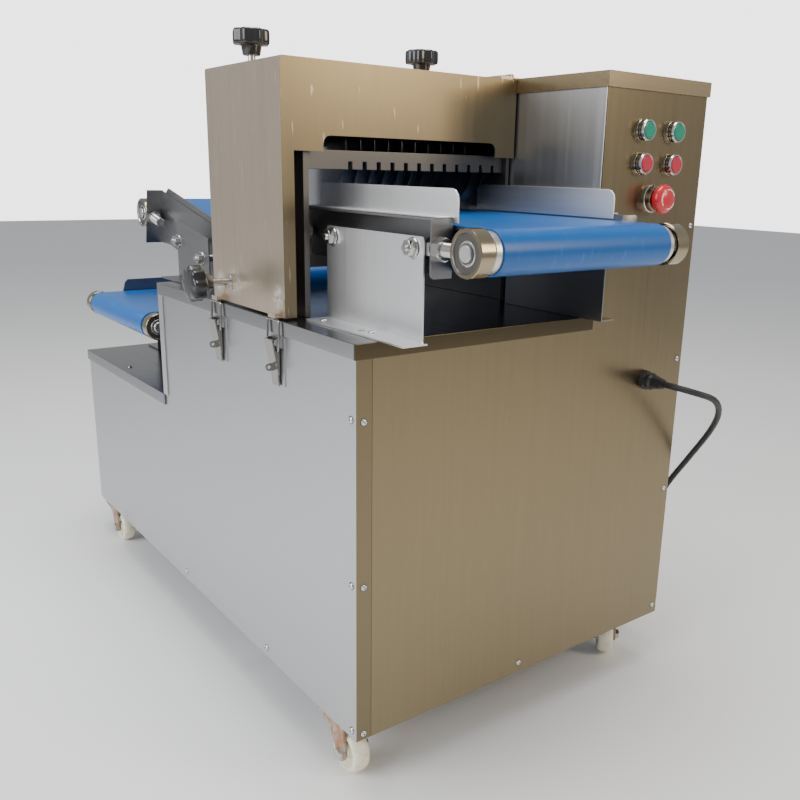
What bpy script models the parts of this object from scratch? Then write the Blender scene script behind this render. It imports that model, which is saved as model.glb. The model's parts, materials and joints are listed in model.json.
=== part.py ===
"""Frozen meat slicer on casters, built as separate pieces that move on their joints.

Units are metres. Places are given in the cabinet's own frame: x = 0 at the left panel's
outer face, y = 0 at the front panel's outer face, z = 0 on the floor. The root empty moves
that frame so that the model's origin is the middle of its base.
"""
import math

import bmesh
import bpy
from mathutils import Matrix, Vector

# Cabinet
CABINET_WIDTH = 0.600
CABINET_LENGTH = 1.052
FLOOR_CLEARANCE = 0.090
STEP_Y = 0.612
TABLE_Z = 0.613
DECK_Z = 0.421
TOWER_X = 0.389
TOWER_TOP = 0.934
TOWER_MIDDLE = (TOWER_X + CABINET_WIDTH) / 2
SHEET = 0.002
GAP = 0.0003
BAR = 0.025
CORNER_STRIP = 0.0225
TABLE_LIP = 0.019
DECK_LIP = 0.020
CAP_LIP = 0.020
LIP_PROUD = 0.003
STEP_FLANGE_WIDTH = 0.015

# Opening in the table that the lower end of the outfeed conveyor reaches into
TABLE_OPENING_X = (0.084, 0.3865)

# Casters
CASTER_INSET_X = 0.030
CASTER_FRONT_Y = 0.082
CASTER_REAR_INSET = 0.034
CASTER_REAR_Y = CABINET_LENGTH - CASTER_REAR_INSET
CASTER_TRAIL = 0.022
CASTER_TURNS = {"front_left": 270, "front_right": 225, "rear_left": 270, "rear_right": 245}
CASTER_PLATE = 0.060
CASTER_PLATE_THICKNESS = 0.005
SWIVEL_DISC_RADIUS = 0.020
SWIVEL_DISC_THICKNESS = 0.003
WHEEL_RADIUS = 0.032
WHEEL_WIDTH = 0.026
WHEEL_RIM_RADIUS = 0.022
WHEEL_WEB = 0.010
AXLE_RADIUS = 0.005
FORK_SHEET = 0.003
FORK_SIDE_GAP = 0.0022
AXLE_HEAD_RADIUS = 0.009
AXLE_HEAD = 0.006
FORK_ARM_LENGTH = 0.046
PEDAL_WIDTH = 0.026
PEDAL_LENGTH = 0.048
PEDAL_PIN_RADIUS = 0.003
PEDAL_PIN_INSET = 0.006
PEDAL_PIN_DROP = 0.006

# Infeed conveyor
BELT_CENTRE_X = 0.236
BELT_WIDTH = 0.275
BELT_THICKNESS = 0.002
DRUM_RADIUS = 0.0235
DRUM_SHOWS = 0.010
SHAFT_RADIUS = 0.009
SHAFT_CLEARANCE = 0.0003
INFEED_FRONT_Y = -0.108
INFEED_REAR_Y = 0.320
INFEED_LENGTH = INFEED_REAR_Y - INFEED_FRONT_Y
INFEED_Z = 0.720
RAIL_SHEET = 0.002
RAIL_GAP = 0.0035
INFEED_RAIL_Y = (-0.050, 0.262)
INFEED_RAIL_Z = (0.687, 0.753)
FLANGE_WIDTH = 0.028
RIGHT_FLANGE_WIDTH = 0.0075
HOUSING_RADIUS = 0.0265
HOUSING_WIDTH = 0.020
HOUSING_OFFSET = 0.0125
BOLT_RADIUS = 0.008
NUT_RADIUS = 0.0138
NUT_HEIGHT = 0.012
TAKE_UP_REACH = 0.0185
BED_THICKNESS = 0.003
BED_END = 0.028
INFEED_MEMBERS_Y = (0.000, 0.200)
MEMBER_WIDTH = 0.030
MEMBER_DROP = 0.014
GUARD_HEIGHT = 0.032
GUARD_DROP = 0.0055
GUARD_CORNER = 0.012
GUARD_FOOT = 0.022
LEFT_GUARD_Y = (-0.058, 0.240)
RIGHT_GUARD_Y = (-0.036, 0.240)
LEFT_BRACKET_X = 0.061
LEFT_BRACKET_Y = (-0.042, 0.165)
LEFT_BRACKET_TOP = 0.733
BRACKET_FOOT = 0.032
RIGHT_BRACKET_X = 0.360
SLOT_WIDTH = 0.009
SLOT_LENGTH = 0.020
SLOT_DROP = 0.003
FOOT_OVERHANG = 0.008
FOOT_SLOT_REACH = 0.100
FOOT_SLOT_LENGTH = 0.014
FOOT_SLOT_WIDTH = 0.007
BRACKET_CORNER = 0.004
BRACKET_BOLTS_Y = (-0.022, 0.150)
BRACKET_BOLT_Z = 0.720

# Outfeed conveyor, which climbs to the rear
OUTFEED_REAR_Y = 0.863
OUTFEED_REAR_Z = 0.714
OUTFEED_SLOPE = 12.4
OUTFEED_LENGTH = 0.418
OUTFEED_MEMBERS = (0.058 - OUTFEED_LENGTH, -0.080)
OUTFEED_FRONT_Y = OUTFEED_REAR_Y - OUTFEED_LENGTH * math.cos(math.radians(OUTFEED_SLOPE))
OUTFEED_RAIL_TOP = 0.050
OUTFEED_RAIL_BOTTOM = -0.040
OUTFEED_END_DROP = -0.050
OUTFEED_END_GAP = 0.0275
OUTFEED_GUARD_TOP = 0.060
OUTFEED_BRACKET_X = 0.059
OUTFEED_BRACKET_Y = (0.539, 0.672)
OUTFEED_BRACKET_TOP = (0.688, 0.711)
OUTFEED_LEG_Y = (0.599, 0.6085)

# Cross conveyor over the low deck
TABLE_OPENING_FRONT = 0.055
TABLE_OPENING_Y = (OUTFEED_FRONT_Y - TABLE_OPENING_FRONT, 0.598)
CROSS_END_X = 0.010
CROSS_START_X = 0.400
CROSS_Z = 0.530
CROSS_BELT_Y = (0.680, 0.965)
CROSS_DRUM_RADIUS = 0.0205
CROSS_HOUSING_RADIUS = 0.023
CROSS_HOUSING_WIDTH = 0.018
CROSS_SIDE_Y = (0.6695, 0.9720)
CROSS_SIDE_SHEET = 0.003
CROSS_SIDE_Z = (0.512, 0.548)
CROSS_GUARD_TOP = 0.575
CROSS_LEGS_X = (0.120, 0.330)
CROSS_LEG_WIDTH = 0.036
CROSS_FOOT = 0.060

# Cutting head
HEAD_SIDES_X = (0.038, 0.3805)
HEAD_LEFT_THICKNESS = 0.008
HEAD_RIGHT_THICKNESS = 0.006
HEAD_Y = (0.183, 0.385)
HEAD_TOP = 0.905
ARBOR_Y = 0.285
ARBOR_Z = 0.835
ARBOR_RADIUS = 0.012
SPACER_RADIUS = 0.022
BLADE_RADIUS = 0.085
BLADE_THICKNESS = 0.002
BLADE_COUNT = 12
BLADE_PITCH = 0.0225
TIE_RADIUS = 0.008
TIE_PLACES = ((0.205, 0.890), (0.366, 0.890))
COMB_Y = 0.190
COMB_THICKNESS = 0.004
COMB_Z = (0.802, 0.826)
COMB_NOTCH = 0.010
COMB_NOTCH_WIDTH = 0.006
GUIDE_Z = (0.657, 0.679)
GUIDE_THICKNESS = 0.004
GUIDE_INSET = 0.026
BEARING_RADIUS = 0.032
BEARING_DEPTH = 0.014

# Drive inside the tower
PULLEY_OFFSET = 0.013
BELT_PULLEY_X = TOWER_X + PULLEY_OFFSET
PULLEY_WIDTH = 0.020
ARBOR_PULLEY_RADIUS = 0.060
MOTOR_PULLEY_RADIUS = 0.030
DRIVE_BELT_THICKNESS = 0.004
MOTOR_Y = 0.430
MOTOR_Z = 0.250
MOTOR_RADIUS = 0.070
MOTOR_START = 0.047
MOTOR_END_GAP = 0.010
MOTOR_X = (TOWER_X + MOTOR_START, CABINET_WIDTH - MOTOR_END_GAP)
MOTOR_FOOT_WIDTH = 0.120
SPROCKET_RADIUS = 0.025
SPROCKET_WIDTH = 0.008
SPROCKET_X = (TOWER_X + 0.039, TOWER_X + 0.039 + SPROCKET_WIDTH)

# Cover over the head
COVER_X = (0.003, 0.3857)
COVER_Y = (0.173, 0.392)
COVER_Z = (0.616, 0.932)
COVER_BEND = 0.003
WINDOW_LOW_Z = 0.8235
WINDOW_HIGH_Z = 0.843
WINDOW_LEFT_X = 0.020
WINDOW_STEP_X = (0.062, 0.349)
WINDOW_CORNER = 0.010
HINGE_RADIUS = 0.0035
HINGE_PIN_RADIUS = 0.0015
HINGE_LEAF = 0.0023
HINGE_LEAF_WIDTH = 0.022
HINGE_KNUCKLES = 5
HINGE_END_INSET = 0.010

# Star knobs
KNOB_RADIUS = 0.025
KNOB_LOBES = 8
KNOB_LOBE_DEPTH = 0.003
KNOB_HEAD = 0.019
KNOB_HUB_RADIUS = 0.0135
KNOB_STUD_RADIUS = 0.005
TOP_KNOBS = ((0.032, 0.305), (0.311, 0.305))
TOP_KNOB_HEAD_Z = 0.957
TOP_KNOB_HUB = 0.013
TOP_KNOB_REACH = 0.007
SIDE_KNOB_Y = 0.318
SIDE_KNOB_Z = 0.648
SIDE_KNOB_HEAD_X = -0.047
SIDE_KNOB_HUB = 0.014
SIDE_NUT_RADIUS = 0.0115
SIDE_NUT = 0.010

# Draw latches
LATCHES_Y = {"front": 0.190, "rear": 0.368}
LATCH_BASE_Z = (0.527, 0.591)
LATCH_BASE_WIDTH = 0.040
LATCH_SHEET = 0.0015
LATCH_PIVOT_X = -0.0070
LATCH_PIVOT_Z = 0.585
LATCH_PIN_RADIUS = 0.002
EAR_OUTER = 0.0138
EAR_SHEET = 0.002
LEVER_WIDTH = 0.022
LEVER_REAR_X = -0.0035
LEVER_TOP = (-0.0140, 0.5883)
LEVER_TIP = (-0.0055, 0.5410)
LEVER_TAB_Z = 0.526
EYE_Z = 0.551
EYE_REACH = 0.0135
EYE_RADIUS = 0.0050
BAIL_PIVOT_X = -0.0070
BAIL_PIVOT_Z = 0.574
BAIL_RADIUS = 0.0015
BAIL_HALF_WIDTH = 0.0157
BAIL_TOP_X = -0.0055
BAIL_DROP = 0.0023
BAIL_TOP_Z = COVER_Z[0] - BAIL_DROP
CATCH_WIDTH = 0.033
CATCH_NECK = 0.020
CATCH_NECK_TOP = 0.017
CATCH_HEIGHT = 0.024
CATCH_REACH = 0.011
CATCH_LIP = 0.006

# Controls
BUTTON_SPACING = 0.064
BUTTON_COLUMNS_X = (TOWER_MIDDLE - BUTTON_SPACING / 2, TOWER_MIDDLE + BUTTON_SPACING / 2)
BUTTON_ROWS_Z = {"green": 0.863, "red": 0.819}
BEZEL_RADIUS = 0.0150
BEZEL_BORE = 0.0113
BEZEL_DEPTH = 0.0125
BUTTON_RADIUS = 0.0109
BUTTON_PROUD = 0.0020
BUTTON_LENGTH = 0.0100
STOP_OFFSET = -0.0015
STOP_X = TOWER_MIDDLE + STOP_OFFSET
STOP_Z = 0.772
STOP_COLLAR_RADIUS = 0.0170
STOP_COLLAR_DEPTH = 0.0120
STOP_STEM_RADIUS = 0.0090
STOP_RADIUS = 0.0200
STOP_BACK_Y = -0.0165
STOP_FRONT_Y = -0.0320

# Power cord
GLAND_OFFSET = 0.0195
GLAND_X = TOWER_MIDDLE + GLAND_OFFSET
GLAND_Z = 0.506
GLAND_RADIUS = 0.013
GLAND_LENGTH = 0.038
CORD_DIAMETER = 0.0095
CORD_ROUTE = (
    (GLAND_X, -0.0383, GLAND_Z), (GLAND_X, -0.0560, GLAND_Z), (GLAND_X + 0.014, -0.0840, GLAND_Z - 0.005),
    (CABINET_WIDTH - 0.040, -0.0950, 0.4880), (CABINET_WIDTH - 0.008, -0.0830, 0.4600),
    (CABINET_WIDTH + 0.016, -0.0550, 0.4200), (CABINET_WIDTH + 0.028, -0.0150, 0.3650),
    (CABINET_WIDTH + 0.033, 0.0280, 0.3000), (CABINET_WIDTH + 0.036, 0.0620, 0.2250),
    (CABINET_WIDTH + 0.039, 0.0860, 0.1500), (CABINET_WIDTH + 0.042, 0.1040, 0.0850),
    (CABINET_WIDTH + 0.046, 0.1200, 0.0420), (CABINET_WIDTH + 0.049, 0.1420, 0.0150),
    (CABINET_WIDTH + 0.050, 0.1700, 0.0062), (CABINET_WIDTH + 0.050, 0.2050, 0.0060),
)
COIL_CENTRE = (CABINET_WIDTH + 0.1165, 0.2050)
COIL_MEAN_RADIUS = 0.0518
COIL_HALF_WIDTH = 0.0096
COIL_HEIGHT = 0.0190
PLUG_SIZE = (0.042, 0.030, 0.026)
PLUG_OFFSET = (0.045, 0.0425)

KNOB_OUTER_X = SIDE_KNOB_HEAD_X - KNOB_HEAD
ORIGIN_X = (KNOB_OUTER_X + CABINET_WIDTH + LIP_PROUD) / 2
PEDAL_TIP_Y = CASTER_REAR_Y + FORK_ARM_LENGTH - PEDAL_PIN_INSET + PEDAL_LENGTH
ORIGIN_Y = (INFEED_FRONT_Y - HOUSING_RADIUS + PEDAL_TIP_Y) / 2

MATERIALS = {
    "panel_steel": ((0.60, 0.58, 0.55), 0.32, 1.0),
    "cover_steel": ((0.66, 0.60, 0.53), 0.34, 1.0),
    "frame_steel": ((0.48, 0.47, 0.45), 0.40, 1.0),
    "machined_steel": ((0.72, 0.72, 0.73), 0.22, 1.0),
    "drum_metal": ((0.62, 0.62, 0.60), 0.35, 1.0),
    "latch_steel": ((0.74, 0.74, 0.72), 0.22, 1.0),
    "blue_belt": ((0.01, 0.24, 0.75), 0.45, 0.0),
    "black_rubber": ((0.02, 0.02, 0.02), 0.60, 0.0),
    "black_plastic": ((0.02, 0.02, 0.022), 0.25, 0.0),
    "ivory_nylon": ((0.80, 0.70, 0.50), 0.45, 0.0),
    "pedal_grey": ((0.75, 0.76, 0.78), 0.40, 0.6),
    "green_cap": ((0.00, 0.30, 0.18), 0.35, 0.0),
    "red_cap": ((0.65, 0.03, 0.06), 0.35, 0.0),
    "motor_paint": ((0.20, 0.24, 0.28), 0.50, 0.2),
}

ROUND_ANGLE = 32
PIVOTS = {}


def clear_scene():
    for obj in list(bpy.data.objects):
        bpy.data.objects.remove(obj)


def new_collection(name):
    collection = bpy.data.collections.new(name)
    bpy.context.scene.collection.children.link(collection)
    return collection


clear_scene()
BENCH = new_collection("bench")
PARTS = new_collection("frozen_meat_slicer")


# Helpers for raw shapes, all in the cabinet's frame

def bench_object(data):
    """Put a mesh or curve on the bench, where it waits to be joined or finished."""
    obj = bpy.data.objects.new("raw", data)
    BENCH.objects.link(obj)
    return obj


def evaluated_mesh(obj):
    graph = bpy.context.evaluated_depsgraph_get()
    return bpy.data.meshes.new_from_object(obj.evaluated_get(graph))


def placed(work, mesh, matrix):
    """Place a shape, round its corners to a ten-thousandth of a millimetre and bench it."""
    bmesh.ops.transform(work, matrix=matrix, verts=work.verts)
    for vertex in work.verts:
        vertex.co = [round(value, 7) for value in vertex.co]
    bmesh.ops.recalc_face_normals(work, faces=work.faces)
    work.to_mesh(mesh)
    work.free()
    return bench_object(mesh)


def remake(obj, matrix):
    """Replace an object by its evaluated mesh, welded, placed and facing outwards."""
    mesh = evaluated_mesh(obj)
    bpy.data.objects.remove(obj)
    work = bmesh.new()
    work.from_mesh(mesh)
    bmesh.ops.remove_doubles(work, verts=work.verts, dist=1e-6)
    return placed(work, mesh, matrix)


def box(low, high):
    """Block from its lowest to its highest corner."""
    centre = [(a + b) / 2 for a, b in zip(low, high)]
    size = [b - a for a, b in zip(low, high)]
    work = bmesh.new()
    bmesh.ops.create_cube(work, size=1)
    place = Matrix.Translation(centre) @ Matrix.Diagonal((*size, 1))
    return placed(work, bpy.data.meshes.new("box"), place)


def cylinder(start, end, radius, sides=24, end_radius=None):
    """Round bar, or a cone, between two points."""
    start = Vector(start)
    along = Vector(end) - start
    turn = Vector((0, 0, 1)).rotation_difference(along).to_matrix().to_4x4()
    place = Matrix.Translation(start + along / 2) @ turn
    far_radius = radius if end_radius is None else end_radius
    work = bmesh.new()
    bmesh.ops.create_cone(work, cap_ends=True, segments=sides, radius1=radius, radius2=far_radius,
                          depth=along.length)
    return placed(work, bpy.data.meshes.new("cylinder"), place)


def plane_matrix(plane, offset):
    """Matrix that lays an outline in the XY, XZ or YZ plane at an offset along the third axis."""
    columns = {"XY": ((1, 0, 0), (0, 1, 0), (0, 0, 1)),
               "XZ": ((1, 0, 0), (0, 0, 1), (0, 1, 0)),
               "YZ": ((0, 1, 0), (0, 0, 1), (1, 0, 0))}[plane]
    turn = Matrix(columns).transposed().to_4x4()
    return Matrix.Translation(Vector(columns[2]) * offset) @ turn


def plate(outlines, plane, low, high):
    """Flat sheet between two offsets; outlines after the first are its holes."""
    curve = bpy.data.curves.new("outline", "CURVE")
    curve.dimensions = "2D"
    curve.fill_mode = "BOTH"
    curve.resolution_u = 1
    curve.extrude = (high - low) / 2
    for outline in outlines:
        spline = curve.splines.new("POLY")
        spline.points.add(len(outline) - 1)
        for point, (across, up) in zip(spline.points, outline):
            point.co = (across, up, 0, 1)
        spline.use_cyclic_u = True
    return remake(bench_object(curve), plane_matrix(plane, (low + high) / 2))


def turned(profile, axis, centre, sides=24, closed=False):
    """Turn a profile of (radius, distance along the axis) pairs about an axis through centre."""
    mesh = bpy.data.meshes.new("profile")
    edges = [(i, i + 1) for i in range(len(profile) - 1)]
    if closed:
        edges.append((len(profile) - 1, 0))
    mesh.from_pydata([(radius, 0, along) for radius, along in profile], edges, [])
    obj = bench_object(mesh)
    screw = obj.modifiers.new("turn", "SCREW")
    screw.axis = "Z"
    screw.steps = sides
    screw.render_steps = sides
    screw.use_merge_vertices = True
    screw.merge_threshold = 0.00001
    turns = {"X": Matrix.Rotation(math.radians(90), 4, "Y"),
             "Y": Matrix.Rotation(math.radians(-90), 4, "X"),
             "Z": Matrix.Identity(4)}
    return remake(obj, Matrix.Translation(centre) @ turns[axis])


def wire(points, radius, resolution=2):
    """Round wire along points, with flat ends."""
    curve = bpy.data.curves.new("wire", "CURVE")
    curve.dimensions = "3D"
    curve.bevel_depth = radius
    curve.bevel_resolution = resolution
    curve.use_fill_caps = True
    spline = curve.splines.new("POLY")
    spline.points.add(len(points) - 1)
    for point, place in zip(spline.points, points):
        point.co = (*place, 1)
    return remake(bench_object(curve), Matrix.Identity(4))


def combine(body, tools, operation):
    for tool in tools:
        step = body.modifiers.new("step", "BOOLEAN")
        step.operation = operation
        step.object = tool
        mesh = evaluated_mesh(body)
        body.modifiers.clear()
        body.data = mesh
        bpy.data.objects.remove(tool)
    return body


def join(body, *tools):
    return combine(body, tools, "UNION")


def cut(body, *tools):
    return combine(body, tools, "DIFFERENCE")


def material(name):
    made = bpy.data.materials.get(name)
    if made:
        return made
    colour, roughness, metallic = MATERIALS[name]
    made = bpy.data.materials.new(name)
    made.use_nodes = True
    shader = made.node_tree.nodes["Principled BSDF"]
    shader.inputs["Base Color"].default_value = (*colour, 1)
    shader.inputs["Roughness"].default_value = roughness
    shader.inputs["Metallic"].default_value = metallic
    return made


def finish(name, body, finish_name, pivot=(0, 0, 0), parent=None, turn=None):
    """Name a piece, put its origin on its joint's axis and hang it on its parent."""
    mesh = body.data
    pivot = Vector(pivot)
    mesh.transform(Matrix.Translation(-pivot))
    mesh.name = name
    mesh.materials.clear()
    mesh.materials.append(material(finish_name))
    mesh.shade_smooth()
    mesh.set_sharp_from_angle(angle=math.radians(ROUND_ANGLE))
    body.name = name
    BENCH.objects.unlink(body)
    PARTS.objects.link(body)
    body.parent = parent if parent else ROOT
    body.location = pivot - PIVOTS.get(body.parent.name, Vector())
    if turn is not None:
        body.rotation_euler.z = turn
    PIVOTS[name] = pivot
    return body


# Outlines

def rectangle(low, high):
    return [(low[0], low[1]), (high[0], low[1]), (high[0], high[1]), (low[0], high[1])]


def arc(centre, radius, start, end, steps):
    """Points on an arc, angles in degrees."""
    points = []
    for i in range(steps + 1):
        angle = math.radians(start + (end - start) * i / steps)
        points.append((centre[0] + radius * math.cos(angle), centre[1] + radius * math.sin(angle)))
    return points


def circle(centre, radius, sides=16):
    return arc(centre, radius, 0, 360 - 360 / sides, sides - 1)


def slot(centre, length, width, steps=4):
    """Upright slot with round ends."""
    reach = (length - width) / 2
    return (arc((centre[0], centre[1] + reach), width / 2, 0, 180, steps)
            + arc((centre[0], centre[1] - reach), width / 2, 180, 360, steps))


def rounded_rectangle(low, high, radii, steps=3):
    """Rectangle whose corners, counted from the lowest one anticlockwise, have their own radii."""
    corners = ((low[0], low[1], 180, 1, 1), (high[0], low[1], 270, -1, 1),
               (high[0], high[1], 0, -1, -1), (low[0], high[1], 90, 1, -1))
    points = []
    for (a, b, start, side, up), radius in zip(corners, radii):
        if radius:
            points += arc((a + side * radius, b + up * radius), radius, start, start + 90, steps)
        else:
            points.append((a, b))
    return points


def loop(first, second, radius, steps=12):
    """Outline of a belt round two equal pulleys."""
    heading = math.degrees(math.atan2(second[1] - first[1], second[0] - first[0]))
    return (arc(first, radius, heading + 90, heading + 270, steps)
            + arc(second, radius, heading - 90, heading + 90, steps))


def open_loop(first, first_radius, second, second_radius, steps=20):
    """Outline of an open belt round two unequal pulleys."""
    apart = math.hypot(second[0] - first[0], second[1] - first[1])
    heading = math.degrees(math.atan2(second[1] - first[1], second[0] - first[0]))
    lean = math.degrees(math.acos((first_radius - second_radius) / apart))
    return (arc(first, first_radius, heading + lean, heading + 360 - lean, steps)
            + arc(second, second_radius, heading - lean, heading + lean, steps))


def incline(along, across):
    """Point of the outfeed conveyor in the YZ plane, from its rear drum along and across the slope."""
    slope = math.radians(OUTFEED_SLOPE)
    return (OUTFEED_REAR_Y + along * math.cos(slope) - across * math.sin(slope),
            OUTFEED_REAR_Z + along * math.sin(slope) + across * math.cos(slope))


# Cabinet

INNER_LEFT = SHEET + GAP
INNER_RIGHT = CABINET_WIDTH - SHEET - GAP
INNER_FRONT = SHEET + GAP
INNER_STEP = STEP_Y - SHEET - GAP
INNER_REAR = CABINET_LENGTH - SHEET - GAP
TABLE_UNDER = TABLE_Z - SHEET - GAP
DECK_UNDER = DECK_Z - SHEET - GAP
CAP_UNDER = TOWER_TOP - SHEET - GAP
TOWER_INNER = TOWER_X + SHEET + GAP


def caster_places():
    right = CABINET_WIDTH - CASTER_INSET_X
    return {"front_left": (CASTER_INSET_X, CASTER_FRONT_Y), "front_right": (right, CASTER_FRONT_Y),
            "rear_left": (CASTER_INSET_X, CASTER_REAR_Y), "rear_right": (right, CASTER_REAR_Y)}


def make_base_frame():
    """Welded square bars that the panels, the motor and the casters are fixed to."""
    floor = FLOOR_CLEARANCE
    posts = (
        (INNER_LEFT, INNER_FRONT, TABLE_UNDER), (TOWER_INNER, INNER_FRONT, CAP_UNDER),
        (INNER_RIGHT - BAR, INNER_FRONT, CAP_UNDER), (INNER_LEFT, INNER_STEP - BAR, TABLE_UNDER),
        (TOWER_INNER, INNER_STEP - BAR, CAP_UNDER), (INNER_RIGHT - BAR, INNER_STEP - BAR, CAP_UNDER),
        (INNER_LEFT, INNER_REAR - BAR, DECK_UNDER), (INNER_RIGHT - BAR, INNER_REAR - BAR, DECK_UNDER))
    bars = [box((x, y, floor), (x + BAR, y + BAR, top)) for x, y, top in posts]
    motor_bars = (MOTOR_Y - MOTOR_FOOT_WIDTH / 2, MOTOR_Y + MOTOR_FOOT_WIDTH / 2 - BAR)
    for y in (INNER_FRONT, *motor_bars, INNER_STEP - BAR, INNER_REAR - BAR):
        bars.append(box((INNER_LEFT, y, floor), (INNER_RIGHT, y + BAR, floor + BAR)))
    for x in (INNER_LEFT, INNER_RIGHT - BAR):
        bars.append(box((x, INNER_FRONT, floor), (x + BAR, INNER_REAR, floor + BAR)))
        bars.append(box((x, INNER_STEP - BAR, DECK_UNDER - BAR), (x + BAR, INNER_REAR, DECK_UNDER)))
    for y in (INNER_FRONT, INNER_STEP - BAR):
        bars.append(box((INNER_LEFT, y, TABLE_UNDER - BAR), (INNER_RIGHT, y + BAR, TABLE_UNDER)))
        bars.append(box((TOWER_INNER, y, CAP_UNDER - BAR), (INNER_RIGHT, y + BAR, CAP_UNDER)))
    bars.append(box((INNER_LEFT, INNER_FRONT, TABLE_UNDER - BAR),
                    (INNER_LEFT + BAR, INNER_STEP, TABLE_UNDER)))
    bars.append(box((INNER_LEFT, INNER_REAR - BAR, DECK_UNDER - BAR), (INNER_RIGHT, INNER_REAR, DECK_UNDER)))
    for x in (TOWER_INNER, INNER_RIGHT - BAR):
        bars.append(box((x, INNER_FRONT, CAP_UNDER - BAR), (x + BAR, INNER_STEP, CAP_UNDER)))
    half = CASTER_PLATE / 2
    for x, y in caster_places().values():
        bars.append(box((x - half + INNER_LEFT, y - half, floor - CASTER_PLATE_THICKNESS),
                        (x + half - INNER_LEFT, y + half, floor + SHEET)))
    finish("base_frame", join(*bars), "frame_steel")


def make_front_panel():
    """One folded sheet for the base and the tower, with the switch bezels fixed in it."""
    outline = [(CORNER_STRIP, FLOOR_CLEARANCE), (CABINET_WIDTH, FLOOR_CLEARANCE), (CABINET_WIDTH, CAP_UNDER),
               (TOWER_X, CAP_UNDER), (TOWER_X, TABLE_UNDER), (CORNER_STRIP, TABLE_UNDER)]
    body = plate([outline], "XZ", 0, SHEET)
    for x in BUTTON_COLUMNS_X:
        for z in BUTTON_ROWS_Z.values():
            bevel = BEZEL_RADIUS - 0.0015
            rim = [(BEZEL_BORE, 0.001), (BEZEL_RADIUS, 0.001), (BEZEL_RADIUS, 0.002 - BEZEL_DEPTH),
                   (bevel, -BEZEL_DEPTH), (BEZEL_BORE, -BEZEL_DEPTH)]
            body = join(body, turned(rim, "Y", (x, 0, z), sides=16, closed=True))
    collar = [(STOP_STEM_RADIUS + GAP, 0.001), (STOP_COLLAR_RADIUS + 0.002, 0.001),
              (STOP_COLLAR_RADIUS, -STOP_COLLAR_DEPTH), (STOP_STEM_RADIUS + GAP, -STOP_COLLAR_DEPTH)]
    body = join(body, turned(collar, "Y", (STOP_X, 0, STOP_Z), closed=True))
    finish("front_panel", body, "panel_steel")


def make_left_panel():
    """Left side sheet, folded round the front corner, with the latch bases fixed to it."""
    outline = [(0, FLOOR_CLEARANCE), (CABINET_LENGTH, FLOOR_CLEARANCE), (CABINET_LENGTH, DECK_UNDER),
               (STEP_Y, DECK_UNDER), (STEP_Y, TABLE_UNDER), (0, TABLE_UNDER)]
    body = plate([outline], "YZ", 0, SHEET)
    body = join(body, box((0, 0, FLOOR_CLEARANCE), (CORNER_STRIP - GAP, SHEET, TABLE_UNDER)))
    for y in LATCHES_Y.values():
        body = join(body, *latch_base(y))
    finish("left_panel", body, "panel_steel")


def latch_base(y):
    """Base plate, two ears and the lever's pin of one draw latch."""
    half = LATCH_BASE_WIDTH / 2
    low, high = LATCH_BASE_Z
    pieces = [box((-LATCH_SHEET, y - half, low), (SHEET / 2, y + half, high))]
    for side in (-1, 1):
        edges = sorted((y + side * EAR_OUTER, y + side * (EAR_OUTER - EAR_SHEET)))
        ear = [(-LATCH_SHEET / 2, LATCH_PIVOT_Z - 0.009), (-LATCH_SHEET / 2, high - 0.001),
               *arc((LATCH_PIVOT_X, LATCH_PIVOT_Z), 0.0045, 90, 270, 6)]
        pieces.append(plate([ear], "XZ", *edges))
    reach = EAR_OUTER - EAR_SHEET / 4
    pieces.append(cylinder((LATCH_PIVOT_X, y - reach, LATCH_PIVOT_Z),
                           (LATCH_PIVOT_X, y + reach, LATCH_PIVOT_Z),
                           LATCH_PIN_RADIUS, 12))
    return pieces


def make_right_panel():
    outline = [(INNER_FRONT, FLOOR_CLEARANCE), (CABINET_LENGTH, FLOOR_CLEARANCE),
               (CABINET_LENGTH, DECK_UNDER), (STEP_Y, DECK_UNDER), (STEP_Y, CAP_UNDER),
               (INNER_FRONT, CAP_UNDER)]
    body = plate([outline], "YZ", CABINET_WIDTH - SHEET, CABINET_WIDTH)
    finish("right_panel", body, "panel_steel")


def make_rear_panel():
    body = box((INNER_LEFT, CABINET_LENGTH - SHEET, FLOOR_CLEARANCE),
               (INNER_RIGHT, CABINET_LENGTH, DECK_UNDER))
    finish("rear_panel", body, "panel_steel")


def make_step_panel():
    """Upright sheet between the low deck and the table, with a flange round the left face."""
    tower_seam = TABLE_Z - GAP
    foot = DECK_UNDER + GAP
    outline = [(INNER_LEFT, foot), (INNER_RIGHT, foot), (INNER_RIGHT, tower_seam),
               (TOWER_X, tower_seam), (TOWER_X, TABLE_UNDER), (INNER_LEFT, TABLE_UNDER)]
    body = plate([outline], "XZ", STEP_Y - SHEET, STEP_Y)
    low = DECK_Z + GAP
    high = TABLE_Z - TABLE_LIP - GAP
    flange_back = STEP_Y + GAP + SHEET
    body = join(body, box((-GAP - SHEET, STEP_Y - STEP_FLANGE_WIDTH, low), (-GAP, flange_back, high)),
                box((-GAP - SHEET, STEP_Y + GAP, low), (INNER_LEFT + SHEET, flange_back, high)),
                box((INNER_LEFT, STEP_Y - SHEET, low), (INNER_LEFT + SHEET, flange_back, high)))
    finish("step_panel", body, "panel_steel")


def make_table_top():
    """Folded sheet over the front part of the cabinet, open where the outfeed reaches down."""
    left = -LIP_PROUD
    right = TOWER_X - GAP
    front = -LIP_PROUD
    rear = STEP_Y + LIP_PROUD
    opening = rectangle((TABLE_OPENING_X[0], TABLE_OPENING_Y[0]), (TABLE_OPENING_X[1], TABLE_OPENING_Y[1]))
    body = plate([rectangle((left, front), (right, rear)), opening], "XY", TABLE_Z - SHEET, TABLE_Z)
    low = TABLE_Z - TABLE_LIP
    body = join(body, box((left, front, low), (right, -GAP, TABLE_Z)),
                box((left, front, low), (-GAP, rear, TABLE_Z)),
                box((left, flange_rear(), low), (right, rear, TABLE_Z)))
    finish("table_top", body, "panel_steel")


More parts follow.
